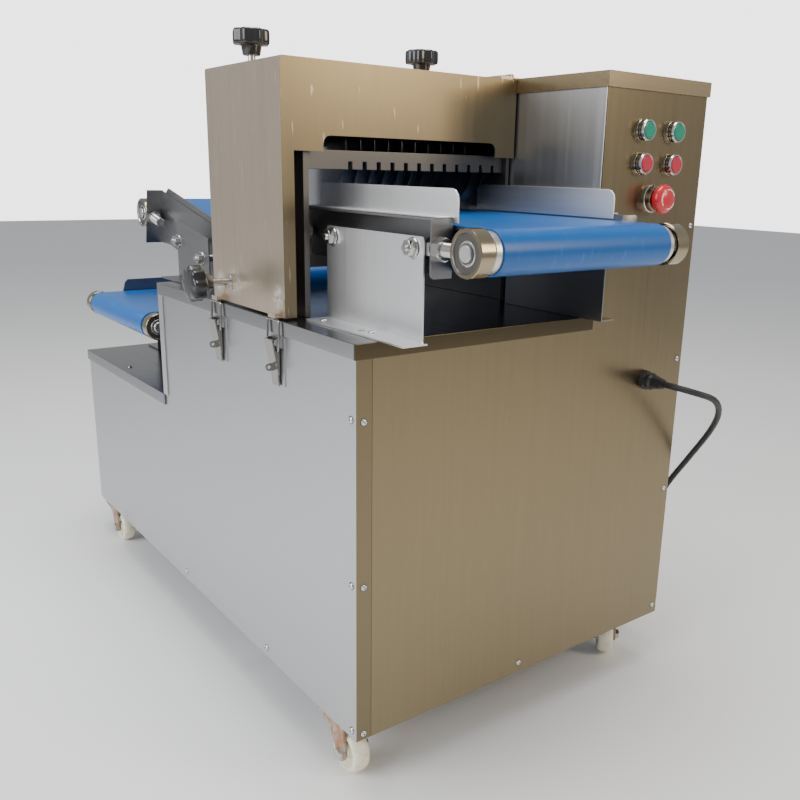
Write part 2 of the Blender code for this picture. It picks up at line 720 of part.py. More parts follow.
def flange_rear():
    """Front face of the table's rear lip."""
    return STEP_Y + GAP


def make_deck_top():
    """Low deck behind the step, with lips on its three free edges."""
    left = -LIP_PROUD
    right = CABINET_WIDTH + LIP_PROUD
    front = STEP_Y + GAP
    rear = CABINET_LENGTH + LIP_PROUD
    low = DECK_Z - DECK_LIP
    body = box((left, front, DECK_Z - SHEET), (right, rear, DECK_Z))
    body = join(body, box((left, front, low), (-GAP, rear, DECK_Z)),
                box((CABINET_WIDTH + GAP, front, low), (right, rear, DECK_Z)),
                box((left, CABINET_LENGTH + GAP, low), (right, rear, DECK_Z)))
    finish("deck_top", body, "panel_steel")


def make_tower_side_panel():
    """Tower sheet folded round its rear left corner, with holes for the drive shafts."""
    holes = [circle((ARBOR_Y, ARBOR_Z), SPACER_RADIUS),
             circle((INFEED_REAR_Y, INFEED_Z), SHAFT_RADIUS + SHEET)]
    side = [rectangle((INNER_FRONT, TABLE_Z + GAP), (STEP_Y, CAP_UNDER))]
    body = plate(side + holes, "YZ", TOWER_X, TOWER_X + SHEET)
    rear = box((TOWER_X, STEP_Y - SHEET, TABLE_Z + GAP), (INNER_RIGHT, STEP_Y, CAP_UNDER))
    finish("tower_side_panel", join(body, rear), "panel_steel")


def hinge_axis():
    """Place of the cover's hinge pin in the XZ plane."""
    return COVER_X[1] + GAP / 2, TOWER_TOP + GAP + HINGE_RADIUS


def hinge_spans():
    """Start and end of each hinge knuckle along Y, front to rear."""
    start = COVER_Y[0] + HINGE_END_INSET
    length = (COVER_Y[1] - COVER_Y[0] - 2 * HINGE_END_INSET) / HINGE_KNUCKLES
    return [(start + i * length + GAP, start + (i + 1) * length - GAP) for i in range(HINGE_KNUCKLES)]


def make_tower_cap():
    """Lid of the tower, with the fixed leaf, knuckles and pin of the cover's hinge."""
    left = TOWER_X - LIP_PROUD
    right = CABINET_WIDTH + LIP_PROUD
    front = -LIP_PROUD
    rear = STEP_Y + LIP_PROUD
    low = TOWER_TOP - CAP_LIP
    body = box((left, front, TOWER_TOP - SHEET), (right, rear, TOWER_TOP))
    body = join(body, box((left, front, low), (right, -GAP, TOWER_TOP)),
                box((left, front, low), (TOWER_X - GAP, rear, TOWER_TOP)),
                box((CABINET_WIDTH + GAP, front, low), (right, rear, TOWER_TOP)),
                box((left, STEP_Y + GAP, low), (right, rear, TOWER_TOP)))
    pin_x, pin_z = hinge_axis()
    spans = hinge_spans()
    leaf_y = (spans[0][0], spans[-1][1])
    body = join(body, box((pin_x + HINGE_RADIUS + GAP, leaf_y[0], TOWER_TOP - SHEET / 2),
                          (pin_x + HINGE_LEAF_WIDTH, leaf_y[1], TOWER_TOP + HINGE_LEAF)))
    for low_y, high_y in spans[1::2]:
        body = join(body, cylinder((pin_x, low_y, pin_z), (pin_x, high_y, pin_z), HINGE_RADIUS, 12),
                    box((pin_x + GAP, low_y, TOWER_TOP + GAP),
                        (pin_x + HINGE_LEAF_WIDTH / 2, high_y, TOWER_TOP + HINGE_LEAF)))
    body = join(body, cylinder((pin_x, leaf_y[0], pin_z), (pin_x, leaf_y[1], pin_z), HINGE_PIN_RADIUS, 12))
    finish("tower_cap", body, "panel_steel")


def make_cabinet():
    make_base_frame()
    make_front_panel()
    make_left_panel()
    make_right_panel()
    make_rear_panel()
    make_step_panel()
    make_table_top()
    make_deck_top()
    make_tower_side_panel()
    make_tower_cap()


# Casters, modelled with the wheel trailing along +X from a swivel at the origin

def fork_top():
    return FLOOR_CLEARANCE - CASTER_PLATE_THICKNESS - GAP


def make_caster(name, place, turn, braked):
    x, y = place
    inner = WHEEL_WIDTH / 2 + FORK_SIDE_GAP
    outer = inner + FORK_SHEET
    top = fork_top() - SWIVEL_DISC_THICKNESS
    body = join(
        cylinder((0, 0, top - FORK_SHEET / 2), (0, 0, fork_top()), SWIVEL_DISC_RADIUS, 16),
        box((-0.020, -outer, top - FORK_SHEET), (0.020, outer, top)))
    boss = (CASTER_TRAIL, WHEEL_RADIUS)
    arm = FORK_ARM_LENGTH if braked else 0.020
    leg = [(-arm, top - 0.012), *arc(boss, 0.011, 205, 390, 6), (0.022, top), (-arm, top)]
    for low in (-outer, inner):
        body = join(body, plate([leg], "XZ", low, low + FORK_SHEET))
    body = join(body, cylinder((CASTER_TRAIL, -outer, WHEEL_RADIUS), (CASTER_TRAIL, outer, WHEEL_RADIUS),
                               AXLE_RADIUS, 12),
                cylinder((CASTER_TRAIL, -outer - AXLE_HEAD, WHEEL_RADIUS),
                         (CASTER_TRAIL, -inner, WHEEL_RADIUS), AXLE_HEAD_RADIUS, 6),
                cylinder((CASTER_TRAIL, inner, WHEEL_RADIUS),
                         (CASTER_TRAIL, outer + AXLE_HEAD, WHEEL_RADIUS), AXLE_HEAD_RADIUS, 6))
    if braked:
        body = join(body, cylinder((pedal_pin()[0], -outer, pedal_pin()[1]),
                                   (pedal_pin()[0], outer, pedal_pin()[1]), PEDAL_PIN_RADIUS, 12))
    angle = math.radians(turn)
    fork = place_turned(name + "_fork", body, "frame_steel", (0, 0, 0), (x, y), angle)
    make_wheel(name, (x, y), angle, fork)
    if braked:
        make_pedal(name, (x, y), angle, fork)


def place_turned(name, body, finish_name, local_pivot, place, angle, parent=None):
    """Finish a piece that was modelled at the swivel's origin, turned about the swivel."""
    spin = Matrix.Rotation(angle, 4, "Z")
    body.data.transform(Matrix.Translation((place[0], place[1], 0)) @ spin)
    pivot = Vector((place[0], place[1], 0)) + spin @ Vector(local_pivot)
    return finish(name, body, finish_name, pivot, parent)


def make_wheel(name, place, angle, fork):
    half = WHEEL_WIDTH / 2
    bore = AXLE_RADIUS + SHAFT_CLEARANCE
    web = WHEEL_WEB / 2
    profile = [(bore, half), (0.010, half), (0.011, web), (WHEEL_RIM_RADIUS - 0.002, web),
               (WHEEL_RIM_RADIUS, half), (WHEEL_RADIUS - 0.004, half), (WHEEL_RADIUS, half - 0.005)]
    profile += [(radius, -along) for radius, along in reversed(profile)]
    body = turned(profile, "Y", (CASTER_TRAIL, 0, WHEEL_RADIUS), sides=20, closed=True)
    place_turned(name + "_wheel", body, "ivory_nylon", (CASTER_TRAIL, 0, WHEEL_RADIUS), place, angle, fork)


def pedal_pin():
    return -FORK_ARM_LENGTH + PEDAL_PIN_INSET, fork_top() - SWIVEL_DISC_THICKNESS - PEDAL_PIN_DROP


def make_pedal(name, place, angle, fork):
    """Foot brake: a bent pedal turning on a pin between the fork's arms."""
    pin_x, pin_z = pedal_pin()
    half = PEDAL_WIDTH / 2
    bore = PEDAL_PIN_RADIUS + SHAFT_CLEARANCE
    outline = [*arc((pin_x, pin_z), 0.0058, 60, -120, 6), (pin_x - 0.030, pin_z - 0.010),
               (pin_x - PEDAL_LENGTH, pin_z - 0.004), (pin_x - PEDAL_LENGTH, pin_z),
               (pin_x - 0.028, pin_z - 0.004)]
    body = plate([outline, circle((pin_x, pin_z), bore, 12)], "XZ", -half, half)
    place_turned(name + "_pedal", body, "pedal_grey", (pin_x, 0, pin_z), place, angle, fork)


def make_casters():
    for name, place in caster_places().items():
        make_caster(name, place, CASTER_TURNS[name], name.endswith("left"))


# Conveyors

BELT_X = (BELT_CENTRE_X - BELT_WIDTH / 2, BELT_CENTRE_X + BELT_WIDTH / 2)
LEFT_WEB = BELT_X[0] - RAIL_GAP - RAIL_SHEET
RIGHT_WEB = BELT_X[1] + RAIL_GAP
LEFT_HOUSING = (BELT_X[0] - HOUSING_OFFSET - HOUSING_WIDTH, BELT_X[0] - HOUSING_OFFSET)
RIGHT_HOUSING = (TOWER_X - 0.001, TOWER_X - 0.001 + HOUSING_WIDTH)
TAKE_UP_X = (LEFT_HOUSING[0] + HOUSING_WIDTH / 2, RIGHT_HOUSING[0] + HOUSING_WIDTH / 2)
BELT_RUN = DRUM_RADIUS + GAP
BELT_OUTER = BELT_RUN + BELT_THICKNESS
SHAFT_BORE = SHAFT_RADIUS + SHAFT_CLEARANCE


def make_belt(name, first, second, plane, low, high, radius=DRUM_RADIUS):
    outer = loop(first, second, radius + GAP + BELT_THICKNESS)
    inner = loop(first, second, radius + GAP)
    finish(name, plate([outer, inner], plane, low, high), "blue_belt")


def make_drum(name, y, z, body_x, shaft_x, finish_name="drum_metal", extra=()):
    """Drum with its shaft along X; extra profile points add a sprocket at the shaft's end."""
    shoulder = 0.0015
    profile = [(0, shaft_x[0]), (SHAFT_RADIUS, shaft_x[0]), (SHAFT_RADIUS, body_x[0]),
               (DRUM_RADIUS - shoulder, body_x[0]), (DRUM_RADIUS, body_x[0] + shoulder),
               (DRUM_RADIUS, body_x[1] - shoulder), (DRUM_RADIUS - shoulder, body_x[1]),
               (SHAFT_RADIUS, body_x[1]), *extra, (SHAFT_RADIUS, shaft_x[1]), (0, shaft_x[1])]
    finish(name, turned(profile, "X", (0, y, z), sides=24), finish_name, pivot=(BELT_CENTRE_X, y, z))


def housing(x, y, z, radius=HOUSING_RADIUS):
    """Bearing ring whose bore holds a drum shaft."""
    low, high = x
    rim = 0.0015
    profile = [(SHAFT_BORE, low), (radius - rim, low), (radius, low + rim), (radius, high),
               (SHAFT_BORE, high)]
    return turned(profile, "X", (0, y, z), sides=24, closed=True)


def slider_bed(first, second, low, high):
    """Plate just under the upper run of a belt, as an outline in the YZ plane."""
    y0, z0 = first
    y1, z1 = second
    length = math.hypot(y1 - y0, z1 - z0)
    along = ((y1 - y0) / length, (z1 - z0) / length)
    corners = ((low, BELT_RUN - GAP - BED_THICKNESS), (high, BELT_RUN - GAP - BED_THICKNESS),
               (high, BELT_RUN - GAP), (low, BELT_RUN - GAP))
    return [(y0 + a * along[0] - b * along[1], z0 + a * along[1] + b * along[0]) for a, b in corners]


def make_infeed_frame():
    """Two rails, cross members through the belt loop, the slider bed and the right bracket."""
    y0, y1 = INFEED_RAIL_Y
    z0, z1 = INFEED_RAIL_Z
    left_web = (LEFT_WEB, LEFT_WEB + RAIL_SHEET)
    right_web = (RIGHT_WEB, RIGHT_WEB + RAIL_SHEET)
    flange_end = LEFT_WEB - FLANGE_WIDTH
    body = box((left_web[0], y0, z0), (left_web[1], y1, z1))
    body = join(body, box((flange_end, y0, z1 - RAIL_SHEET), (left_web[1], y1, z1)))
    hole = circle((TAKE_UP_X[0], INFEED_Z), BOLT_RADIUS + 0.0008)
    end = rounded_rectangle((flange_end, z0), (left_web[1], z1), (0.005, 0, 0, 0.005))
    body = join(body, plate([end, hole], "XZ", y0, y0 + RAIL_SHEET))
    body = join(body, plate([end], "XZ", y1 - RAIL_SHEET, y1))
    tower_flange = right_web[0] + FLANGE_WIDTH + RAIL_SHEET
    right_end = rounded_rectangle((right_web[0], z0), (tower_flange, z1), (0, 0.005, 0.005, 0))
    right_hole = circle((TAKE_UP_X[1], INFEED_Z), BOLT_RADIUS + 0.0008)
    body = join(body, box((right_web[0], y0, z0), (right_web[1], y1, z1)),
                plate([right_end, right_hole], "XZ", y0, y0 + RAIL_SHEET),
                box((right_web[0], y0, z1 - RAIL_SHEET),
                    (right_web[0] + RAIL_SHEET + RIGHT_FLANGE_WIDTH, HEAD_Y[0] - 0.003, z1)))
    bed = slider_bed((INFEED_FRONT_Y, INFEED_Z), (INFEED_REAR_Y, INFEED_Z), BED_END, INFEED_LENGTH - BED_END)
    body = join(body, plate([bed], "YZ", BELT_X[0], BELT_X[1]))
    member_top = INFEED_Z + DRUM_RADIUS - BED_THICKNESS / 2
    for y in INFEED_MEMBERS_Y:
        body = join(body, box((left_web[0], y, INFEED_Z - MEMBER_DROP),
                              (right_web[1], y + MEMBER_WIDTH, member_top)))
    ring = housing(LEFT_HOUSING, INFEED_REAR_Y, INFEED_Z)
    stud = cylinder((TAKE_UP_X[0], y1 - 0.022, INFEED_Z),
                    (TAKE_UP_X[0], INFEED_REAR_Y - HOUSING_RADIUS + 0.002, INFEED_Z), BOLT_RADIUS, 12)
    nuts = nut_pair(TAKE_UP_X[0], y1 - RAIL_SHEET, y1, INFEED_Z, 0)
    body = join(body, stud, ring, *nuts)
    finish("infeed_frame", join(body, *right_bracket()), "frame_steel")


def right_bracket():
    """Folded plate under the right rail, standing on the table."""
    y0, y1 = LEFT_BRACKET_Y[0], LEFT_BRACKET_Y[1] - 0.015
    foot = TABLE_Z + GAP
    top = INFEED_RAIL_Z[0]
    x = RIGHT_BRACKET_X
    return (box((x, y0, foot), (x + RAIL_SHEET, y1, top + 0.001)),
            box((x, y0, foot), (TOWER_X - 0.004, y1, foot + RAIL_SHEET)),
            box((x, y0, top - 0.001), (RIGHT_WEB + RAIL_SHEET, y1, top + 0.001)))


def nut_pair(x, low, high, z, clearance):
    """Hexagon nuts on both sides of a flange that lies between low and high along Y."""
    return (cylinder((x, low - clearance - NUT_HEIGHT, z), (x, low - clearance, z), NUT_RADIUS, 6),
            cylinder((x, high + clearance, z), (x, high + clearance + NUT_HEIGHT, z), NUT_RADIUS, 6))


def make_take_up(name, housing_x, bolt_x):
    """Front bearing ring with its tension bolt and two nuts on the rail's end flange."""
    y = INFEED_FRONT_Y
    low = INFEED_RAIL_Y[0]
    body = housing(housing_x, y, INFEED_Z)
    bolt = cylinder((bolt_x, y + HOUSING_RADIUS - 0.002, INFEED_Z),
                    (bolt_x, low + TAKE_UP_REACH, INFEED_Z), BOLT_RADIUS, 12)
    body = join(body, bolt, *nut_pair(bolt_x, low, low + RAIL_SHEET, INFEED_Z, GAP))
    finish(name, body, "machined_steel")


def make_left_bracket():
    """Folded side plate with slots, its bolts and the spacers to the left rail."""
    y0, y1 = LEFT_BRACKET_Y
    foot = TABLE_Z + GAP
    x = LEFT_BRACKET_X
    side = rounded_rectangle((y0, foot), (y1, LEFT_BRACKET_TOP), (0, 0, BRACKET_CORNER, BRACKET_CORNER))
    slots = [slot((y, BRACKET_BOLT_Z - SLOT_DROP), SLOT_LENGTH, SLOT_WIDTH) for y in BRACKET_BOLTS_Y]
    body = plate([side, *slots], "YZ", x, x + RAIL_SHEET)
    flange = rectangle((x - BRACKET_FOOT, y0 - FOOT_OVERHANG), (x + RAIL_SHEET, y1))
    along_y = slot((y0 + FOOT_SLOT_REACH, x - BRACKET_FOOT / 2), FOOT_SLOT_LENGTH, FOOT_SLOT_WIDTH)
    foot_slot = [(across, along) for along, across in along_y]
    body = join(body, plate([flange, foot_slot], "XY", foot, foot + RAIL_SHEET))
    web = LEFT_WEB - GAP
    for y in BRACKET_BOLTS_Y:
        body = join(body, cylinder((x - 0.0075, y, BRACKET_BOLT_Z), (web, y, BRACKET_BOLT_Z), 0.0040, 12),
                    cylinder((x - 0.0075, y, BRACKET_BOLT_Z), (x + RAIL_SHEET / 2, y, BRACKET_BOLT_Z),
                             0.0085, 6),
                    cylinder((x + RAIL_SHEET / 2, y, BRACKET_BOLT_Z), (web, y, BRACKET_BOLT_Z), 0.0075, 12))
    finish("infeed_left_bracket", body, "panel_steel")


def make_guard(name, plate_x, foot_x, y_span, foot_rear):
    """Upright side guard with a foot that rests on the rail's top flange."""
    top = INFEED_RAIL_Z[1]
    y0, y1 = y_span
    side = rounded_rectangle((y0, top - GUARD_DROP), (y1, top + GUARD_HEIGHT), (0, 0, 0, GUARD_CORNER))
    body = plate([side], "YZ", *plate_x)
    foot = box((foot_x[0], max(y0, INFEED_RAIL_Y[0]), top + GAP),
               (foot_x[1], foot_rear, top + GAP + RAIL_SHEET))
    finish(name, join(body, foot), "panel_steel")


def make_infeed():
    first = (INFEED_FRONT_Y, INFEED_Z)
    second = (INFEED_REAR_Y, INFEED_Z)
    make_infeed_frame()
    make_take_up("infeed_left_take_up", LEFT_HOUSING, TAKE_UP_X[0])
    make_take_up("infeed_right_take_up", RIGHT_HOUSING, TAKE_UP_X[1])
    make_left_bracket()
    left_guard = (LEFT_WEB + RAIL_SHEET + GAP, LEFT_WEB + 2 * RAIL_SHEET + GAP)
    make_guard("infeed_left_guard", left_guard, (LEFT_WEB - GUARD_FOOT, left_guard[1]), LEFT_GUARD_Y,
               LEFT_GUARD_Y[1])
    right_guard = (RIGHT_WEB - RAIL_SHEET - GAP, RIGHT_WEB - GAP)
    make_guard("infeed_right_guard", right_guard, (right_guard[0], RIGHT_WEB + RIGHT_FLANGE_WIDTH),
               RIGHT_GUARD_Y, HEAD_Y[0] - 0.003)
    make_belt("infeed_belt", first, second, "YZ", *BELT_X)
    shows = DRUM_SHOWS
    make_drum("infeed_front_drum", *first, (BELT_X[0] - shows, BELT_X[1] + shows),
              (LEFT_HOUSING[0] - 0.0015, RIGHT_HOUSING[1] + 0.0015))
    sprocket = [(SHAFT_RADIUS, SPROCKET_X[0]), (SPROCKET_RADIUS, SPROCKET_X[0]),
                (SPROCKET_RADIUS, SPROCKET_X[1]), (SHAFT_RADIUS, SPROCKET_X[1])]
    make_drum("infeed_rear_drum", *second, (BELT_X[0] - shows, HEAD_SIDES_X[1] - 0.0025),
              (LEFT_HOUSING[0] - 0.0015, SPROCKET_X[1] + 0.003), extra=sprocket)


def web_outline():
    """Side of an outfeed rail, in the YZ plane."""
    front = -OUTFEED_LENGTH - 0.018
    rear = -OUTFEED_END_GAP - RAIL_SHEET / 2
    top = OUTFEED_RAIL_TOP - RAIL_SHEET / 4
    return [incline(front, OUTFEED_RAIL_BOTTOM + 0.014), incline(front + 0.014, OUTFEED_RAIL_BOTTOM),
            incline(-0.080, OUTFEED_RAIL_BOTTOM), incline(rear, OUTFEED_END_DROP + RAIL_SHEET / 4),
            incline(rear, top), incline(front, top)]


def make_outfeed_frame():
    """Inclined rails with end flanges, rings, low guards, slider bed, bracket and leg."""
    start = incline(-OUTFEED_LENGTH, 0)
    end = incline(0, 0)
    shaft_hole = circle(start, SHAFT_BORE)
    webs = ((LEFT_WEB, LEFT_WEB + RAIL_SHEET), (RIGHT_WEB, RIGHT_WEB + RAIL_SHEET))
    body = plate([web_outline(), shaft_hole], "YZ", *webs[0])
    pieces = [plate([web_outline(), shaft_hole], "YZ", *webs[1])]
    bed = slider_bed(start, end, BED_END, OUTFEED_LENGTH - BED_END)
    pieces.append(plate([bed], "YZ", *BELT_X))
    for along in OUTFEED_MEMBERS:
        low = -MEMBER_DROP
        high = DRUM_RADIUS - BED_THICKNESS / 2
        member = [incline(along, low), incline(along + MEMBER_WIDTH, low),
                  incline(along + MEMBER_WIDTH, high),
                  incline(along, high)]
        pieces.append(plate([member], "YZ", webs[0][0], webs[1][1]))
    guard = [incline(-OUTFEED_LENGTH + 0.030, 0.030), incline(-0.045, 0.030), incline(-0.045, 0.050),
             incline(-0.055, OUTFEED_GUARD_TOP), incline(-OUTFEED_LENGTH + 0.030, OUTFEED_GUARD_TOP)]
    pieces.append(plate([guard], "YZ", webs[0][1] - 0.0002, webs[0][1] + RAIL_SHEET))
    pieces.append(plate([guard], "YZ", webs[1][0] - RAIL_SHEET, webs[1][0] + 0.0002))
    ends = ((webs[0][0] - FLANGE_WIDTH, webs[0][1], LEFT_HOUSING, TAKE_UP_X[0]),
            (webs[1][0], webs[1][1] + FLANGE_WIDTH, RIGHT_HOUSING, TAKE_UP_X[1]))
    for low_x, high_x, ring_x, bolt_x in ends:
        flange = [incline(-OUTFEED_END_GAP - RAIL_SHEET, OUTFEED_END_DROP),
                  incline(-OUTFEED_END_GAP, OUTFEED_END_DROP),
                  incline(-OUTFEED_END_GAP, OUTFEED_RAIL_TOP),
                  incline(-OUTFEED_END_GAP - RAIL_SHEET, OUTFEED_RAIL_TOP)]
        pieces.append(plate([flange], "YZ", low_x, high_x))
        bolt_ends = ((bolt_x, *incline(-0.070, 0)), (bolt_x, *incline(-HOUSING_RADIUS + 0.003, 0)))
        pieces.append(cylinder(*bolt_ends, BOLT_RADIUS, 12))
        nut_ends = ((bolt_x, *incline(-OUTFEED_END_GAP - NUT_HEIGHT, 0)),
                    (bolt_x, *incline(-OUTFEED_END_GAP - 0.001, 0)))
        pieces.append(cylinder(*nut_ends, NUT_RADIUS, 6))
        pieces.append(housing(ring_x, *end))
    finish("outfeed_frame", join(body, *pieces, *outfeed_bracket(webs[0][0]), *outfeed_leg(webs[1])),
           "frame_steel")


def outfeed_bracket(web_x):
    """Left side plate on the table with two bolts and spacers to the rail."""
    y0, y1 = OUTFEED_BRACKET_Y
    foot = TABLE_Z + GAP
    x = OUTFEED_BRACKET_X
    side = [(y0, foot), (y1, foot), (y1, OUTFEED_BRACKET_TOP[1]), (y0, OUTFEED_BRACKET_TOP[0])]
    pieces = [plate([side], "YZ", x, x + RAIL_SHEET),
              box((x - BRACKET_FOOT, y0, foot), (x + RAIL_SHEET / 2, y1, foot + RAIL_SHEET))]
    for along in (-0.300, -0.200):
        y, z = incline(along, -0.004 + 0.009)
        pieces.append(cylinder((x - 0.008, y, z), (web_x + RAIL_SHEET / 2, y, z), 0.0060, 12))
        pieces.append(cylinder((x - 0.008, y, z), (x + RAIL_SHEET / 2, y, z), 0.0085, 12))
    return pieces


def outfeed_leg(web_x):
    """Foot of the right rail on the rear strip of the table."""
    y0, y1 = OUTFEED_LEG_Y
    foot = TABLE_Z + GAP
    return (box((web_x[0], y0, foot), (web_x[1], y1, foot + 0.030)),
            box((web_x[0] - 0.030, y0, foot), (web_x[1], y1, foot + RAIL_SHEET)))


def make_outfeed():
    start = incline(-OUTFEED_LENGTH, 0)
    end = incline(0, 0)
    make_outfeed_frame()
    make_belt("outfeed_belt", start, end, "YZ", *BELT_X)
    shaft = (LEFT_WEB - 0.006, RIGHT_WEB + RAIL_SHEET + 0.006)
    make_drum("outfeed_front_drum", *start, (BELT_X[0] - 0.0012, BELT_X[1] + 0.0012), shaft)
    make_drum("outfeed_rear_drum", *end, (BELT_X[0] - DRUM_SHOWS, BELT_X[1] + DRUM_SHOWS),
              (LEFT_HOUSING[0] - 0.0015, RIGHT_HOUSING[1] + 0.0015))


def cross_drum(name, x):
    y0, y1 = CROSS_SIDE_Y
    reach = CROSS_HOUSING_WIDTH + CROSS_SIDE_SHEET
    near = y0 + CROSS_SIDE_SHEET + 0.0025
    far = y1 - 0.0025
    profile = [(0, y0 - reach), (SHAFT_RADIUS, y0 - reach), (SHAFT_RADIUS, near), (CROSS_DRUM_RADIUS, near),
               (CROSS_DRUM_RADIUS, far), (SHAFT_RADIUS, far), (SHAFT_RADIUS, y1 + reach + CROSS_SIDE_SHEET),
               (0, y1 + reach + CROSS_SIDE_SHEET)]
    finish(name, turned(profile, "Y", (x, 0, CROSS_Z), sides=24), "drum_metal",
           pivot=(x, sum(CROSS_BELT_Y) / 2, CROSS_Z))


def make_cross_frame():
    """Side plates with bearing rings, cross ties through the belt loop, legs and a low guard."""
    z0, z1 = CROSS_SIDE_Z
    low = arc((CROSS_END_X, CROSS_Z), 0.018, 90, 270, 8) + arc((CROSS_START_X, CROSS_Z), 0.018, -90, 90, 8)
    guard = [(0.060, CROSS_GUARD_TOP - 0.006), (0.054, z1), (CROSS_START_X, z1),
             (CROSS_START_X, CROSS_GUARD_TOP), (0.066, CROSS_GUARD_TOP)]
    near, far = CROSS_SIDE_Y
    body = plate([low], "XZ", near, near + CROSS_SIDE_SHEET)
    pieces = [plate([low], "XZ", far, far + CROSS_SIDE_SHEET),
              plate([guard], "XZ", far, far + CROSS_SIDE_SHEET),
              box((0.060, far, z1 - 0.004), (CROSS_START_X - 0.020, far + CROSS_SIDE_SHEET, z1 + 0.004))]
    rings_y = ((near - CROSS_HOUSING_WIDTH, near + 0.001),
               (far + CROSS_SIDE_SHEET - 0.001, far + CROSS_SIDE_SHEET + CROSS_HOUSING_WIDTH))
    for x in (CROSS_END_X, CROSS_START_X):
        pieces += [cylinder((x, low_y, CROSS_Z), (x, high_y, CROSS_Z), CROSS_HOUSING_RADIUS) for low_y,
                   high_y in rings_y]
    for x in CROSS_LEGS_X:
        pieces.append(box((x, near, CROSS_Z - 0.010),
                          (x + CROSS_LEG_WIDTH, far + CROSS_SIDE_SHEET, CROSS_Z + 0.010)))
        pieces.append(box((x, near, DECK_Z + GAP), (x + CROSS_LEG_WIDTH, near + CROSS_SIDE_SHEET, CROSS_Z)))
        pieces.append(box((x, near - 0.030, DECK_Z + GAP),
                          (x + CROSS_LEG_WIDTH, near + CROSS_SIDE_SHEET, DECK_Z + GAP + CROSS_SIDE_SHEET)))
        pieces.append(box((x, far, DECK_Z + GAP), (x + CROSS_LEG_WIDTH, far + CROSS_SIDE_SHEET, CROSS_Z)))
        pieces.append(box((x, far, DECK_Z + GAP),
                          (x + CROSS_LEG_WIDTH, far + CROSS_FOOT, DECK_Z + GAP + CROSS_SIDE_SHEET)))
    bores = [cylinder((x, rings_y[0][0] - SHEET, CROSS_Z), (x, rings_y[1][1] + SHEET, CROSS_Z), SHAFT_BORE)
             for x in (CROSS_END_X, CROSS_START_X)]
    finish("cross_frame", cut(join(body, *pieces), *bores), "frame_steel")


def make_cross():
    make_cross_frame()
    make_belt("cross_belt", (CROSS_END_X, CROSS_Z), (CROSS_START_X, CROSS_Z), "XZ", *CROSS_BELT_Y,
              radius=CROSS_DRUM_RADIUS)
    cross_drum("cross_end_drum", CROSS_END_X)
    cross_drum("cross_start_drum", CROSS_START_X)


# Cutting head and its drive

def blade_places():
    first = BELT_CENTRE_X - BLADE_PITCH * (BLADE_COUNT - 1) / 2
    return [first + i * BLADE_PITCH for i in range(BLADE_COUNT)]


def notched(low_x, high_x, low_z, high_z, depth):
    """Comb outline in the XZ plane: a bar whose lower edge has a notch at each blade."""
    half = COMB_NOTCH_WIDTH / 2
    points = [(low_x, low_z)]
    for x in blade_places():
        points += [(x - half, low_z), (x - half, low_z + depth), (x + half, low_z + depth), (x + half, low_z)]
    return points + [(high_x, low_z), (high_x, high_z), (low_x, high_z)]


def make_head_frame():
    """Side plates on the table, tie bars, a guide bar behind the belt and the arbor's bearing."""
    y0, y1 = HEAD_Y
    left = (HEAD_SIDES_X[0], HEAD_SIDES_X[0] + HEAD_LEFT_THICKNESS)
    right = (HEAD_SIDES_X[1], HEAD_SIDES_X[1] + HEAD_RIGHT_THICKNESS)
    side = rounded_rectangle((y0, TABLE_Z + GAP), (y1, HEAD_TOP), (0, 0, 0.030, 0.030))
    inset = 0.002
    body = plate([side], "YZ", *left)
    pieces = [plate([side], "YZ", *right),
              cylinder((left[0] - BEARING_DEPTH, ARBOR_Y, ARBOR_Z), (left[0] + inset, ARBOR_Y, ARBOR_Z),
                       BEARING_RADIUS * 0.8, 24, BEARING_RADIUS)]
    for y, z in TIE_PLACES:
        pieces.append(cylinder((left[0] + inset, y, z), (right[1] - inset, y, z), TIE_RADIUS, 16))
    guide_y = y1 - GUIDE_INSET
    pieces.append(box((left[0] + inset, guide_y - GUIDE_THICKNESS, GUIDE_Z[0]),
                      (right[1] - inset, guide_y, GUIDE_Z[1])))
    bores = [cylinder((left[0] - BEARING_DEPTH - SHEET, ARBOR_Y, ARBOR_Z),
                      (right[1] + SHEET, ARBOR_Y, ARBOR_Z),
                      ARBOR_RADIUS + SHAFT_CLEARANCE),
             cylinder((right[0] - SHEET, INFEED_REAR_Y, INFEED_Z),
                      (right[1] + SHEET, INFEED_REAR_Y, INFEED_Z), SHAFT_BORE)]
    finish("head_frame", cut(join(body, *pieces), *bores), "frame_steel")


def make_blade_gang():
    """Arbor with round blades, spacers between them and a pulley inside the tower."""
    half = BLADE_THICKNESS / 2
    start = HEAD_SIDES_X[0] - BEARING_DEPTH + 0.002
    places = blade_places()
    profile = [(0, start), (ARBOR_RADIUS, start), (ARBOR_RADIUS, places[0] - 0.012),
               (SPACER_RADIUS, places[0] - 0.012)]
    for x in places:
        profile += [(SPACER_RADIUS, x - half), (BLADE_RADIUS, x), (SPACER_RADIUS, x + half)]
    end = BELT_PULLEY_X + PULLEY_WIDTH
    profile += [(SPACER_RADIUS, places[-1] + 0.008), (ARBOR_RADIUS, places[-1] + 0.008),
                (ARBOR_RADIUS, BELT_PULLEY_X),
                (ARBOR_PULLEY_RADIUS, BELT_PULLEY_X), (ARBOR_PULLEY_RADIUS, end), (ARBOR_RADIUS, end),
                (ARBOR_RADIUS, end + 0.004), (0, end + 0.004)]
    finish("blade_gang", turned(profile, "X", (0, ARBOR_Y, ARBOR_Z), sides=16), "machined_steel",
           pivot=(BELT_CENTRE_X, ARBOR_Y, ARBOR_Z))


def make_upper_comb():
    low_x = HEAD_SIDES_X[0] + HEAD_LEFT_THICKNESS + GAP
    high_x = HEAD_SIDES_X[1] - GAP
    body = plate([notched(low_x, high_x, *COMB_Z, COMB_NOTCH)], "XZ", COMB_Y, COMB_Y + COMB_THICKNESS)
    finish("upper_comb", body, "machined_steel")


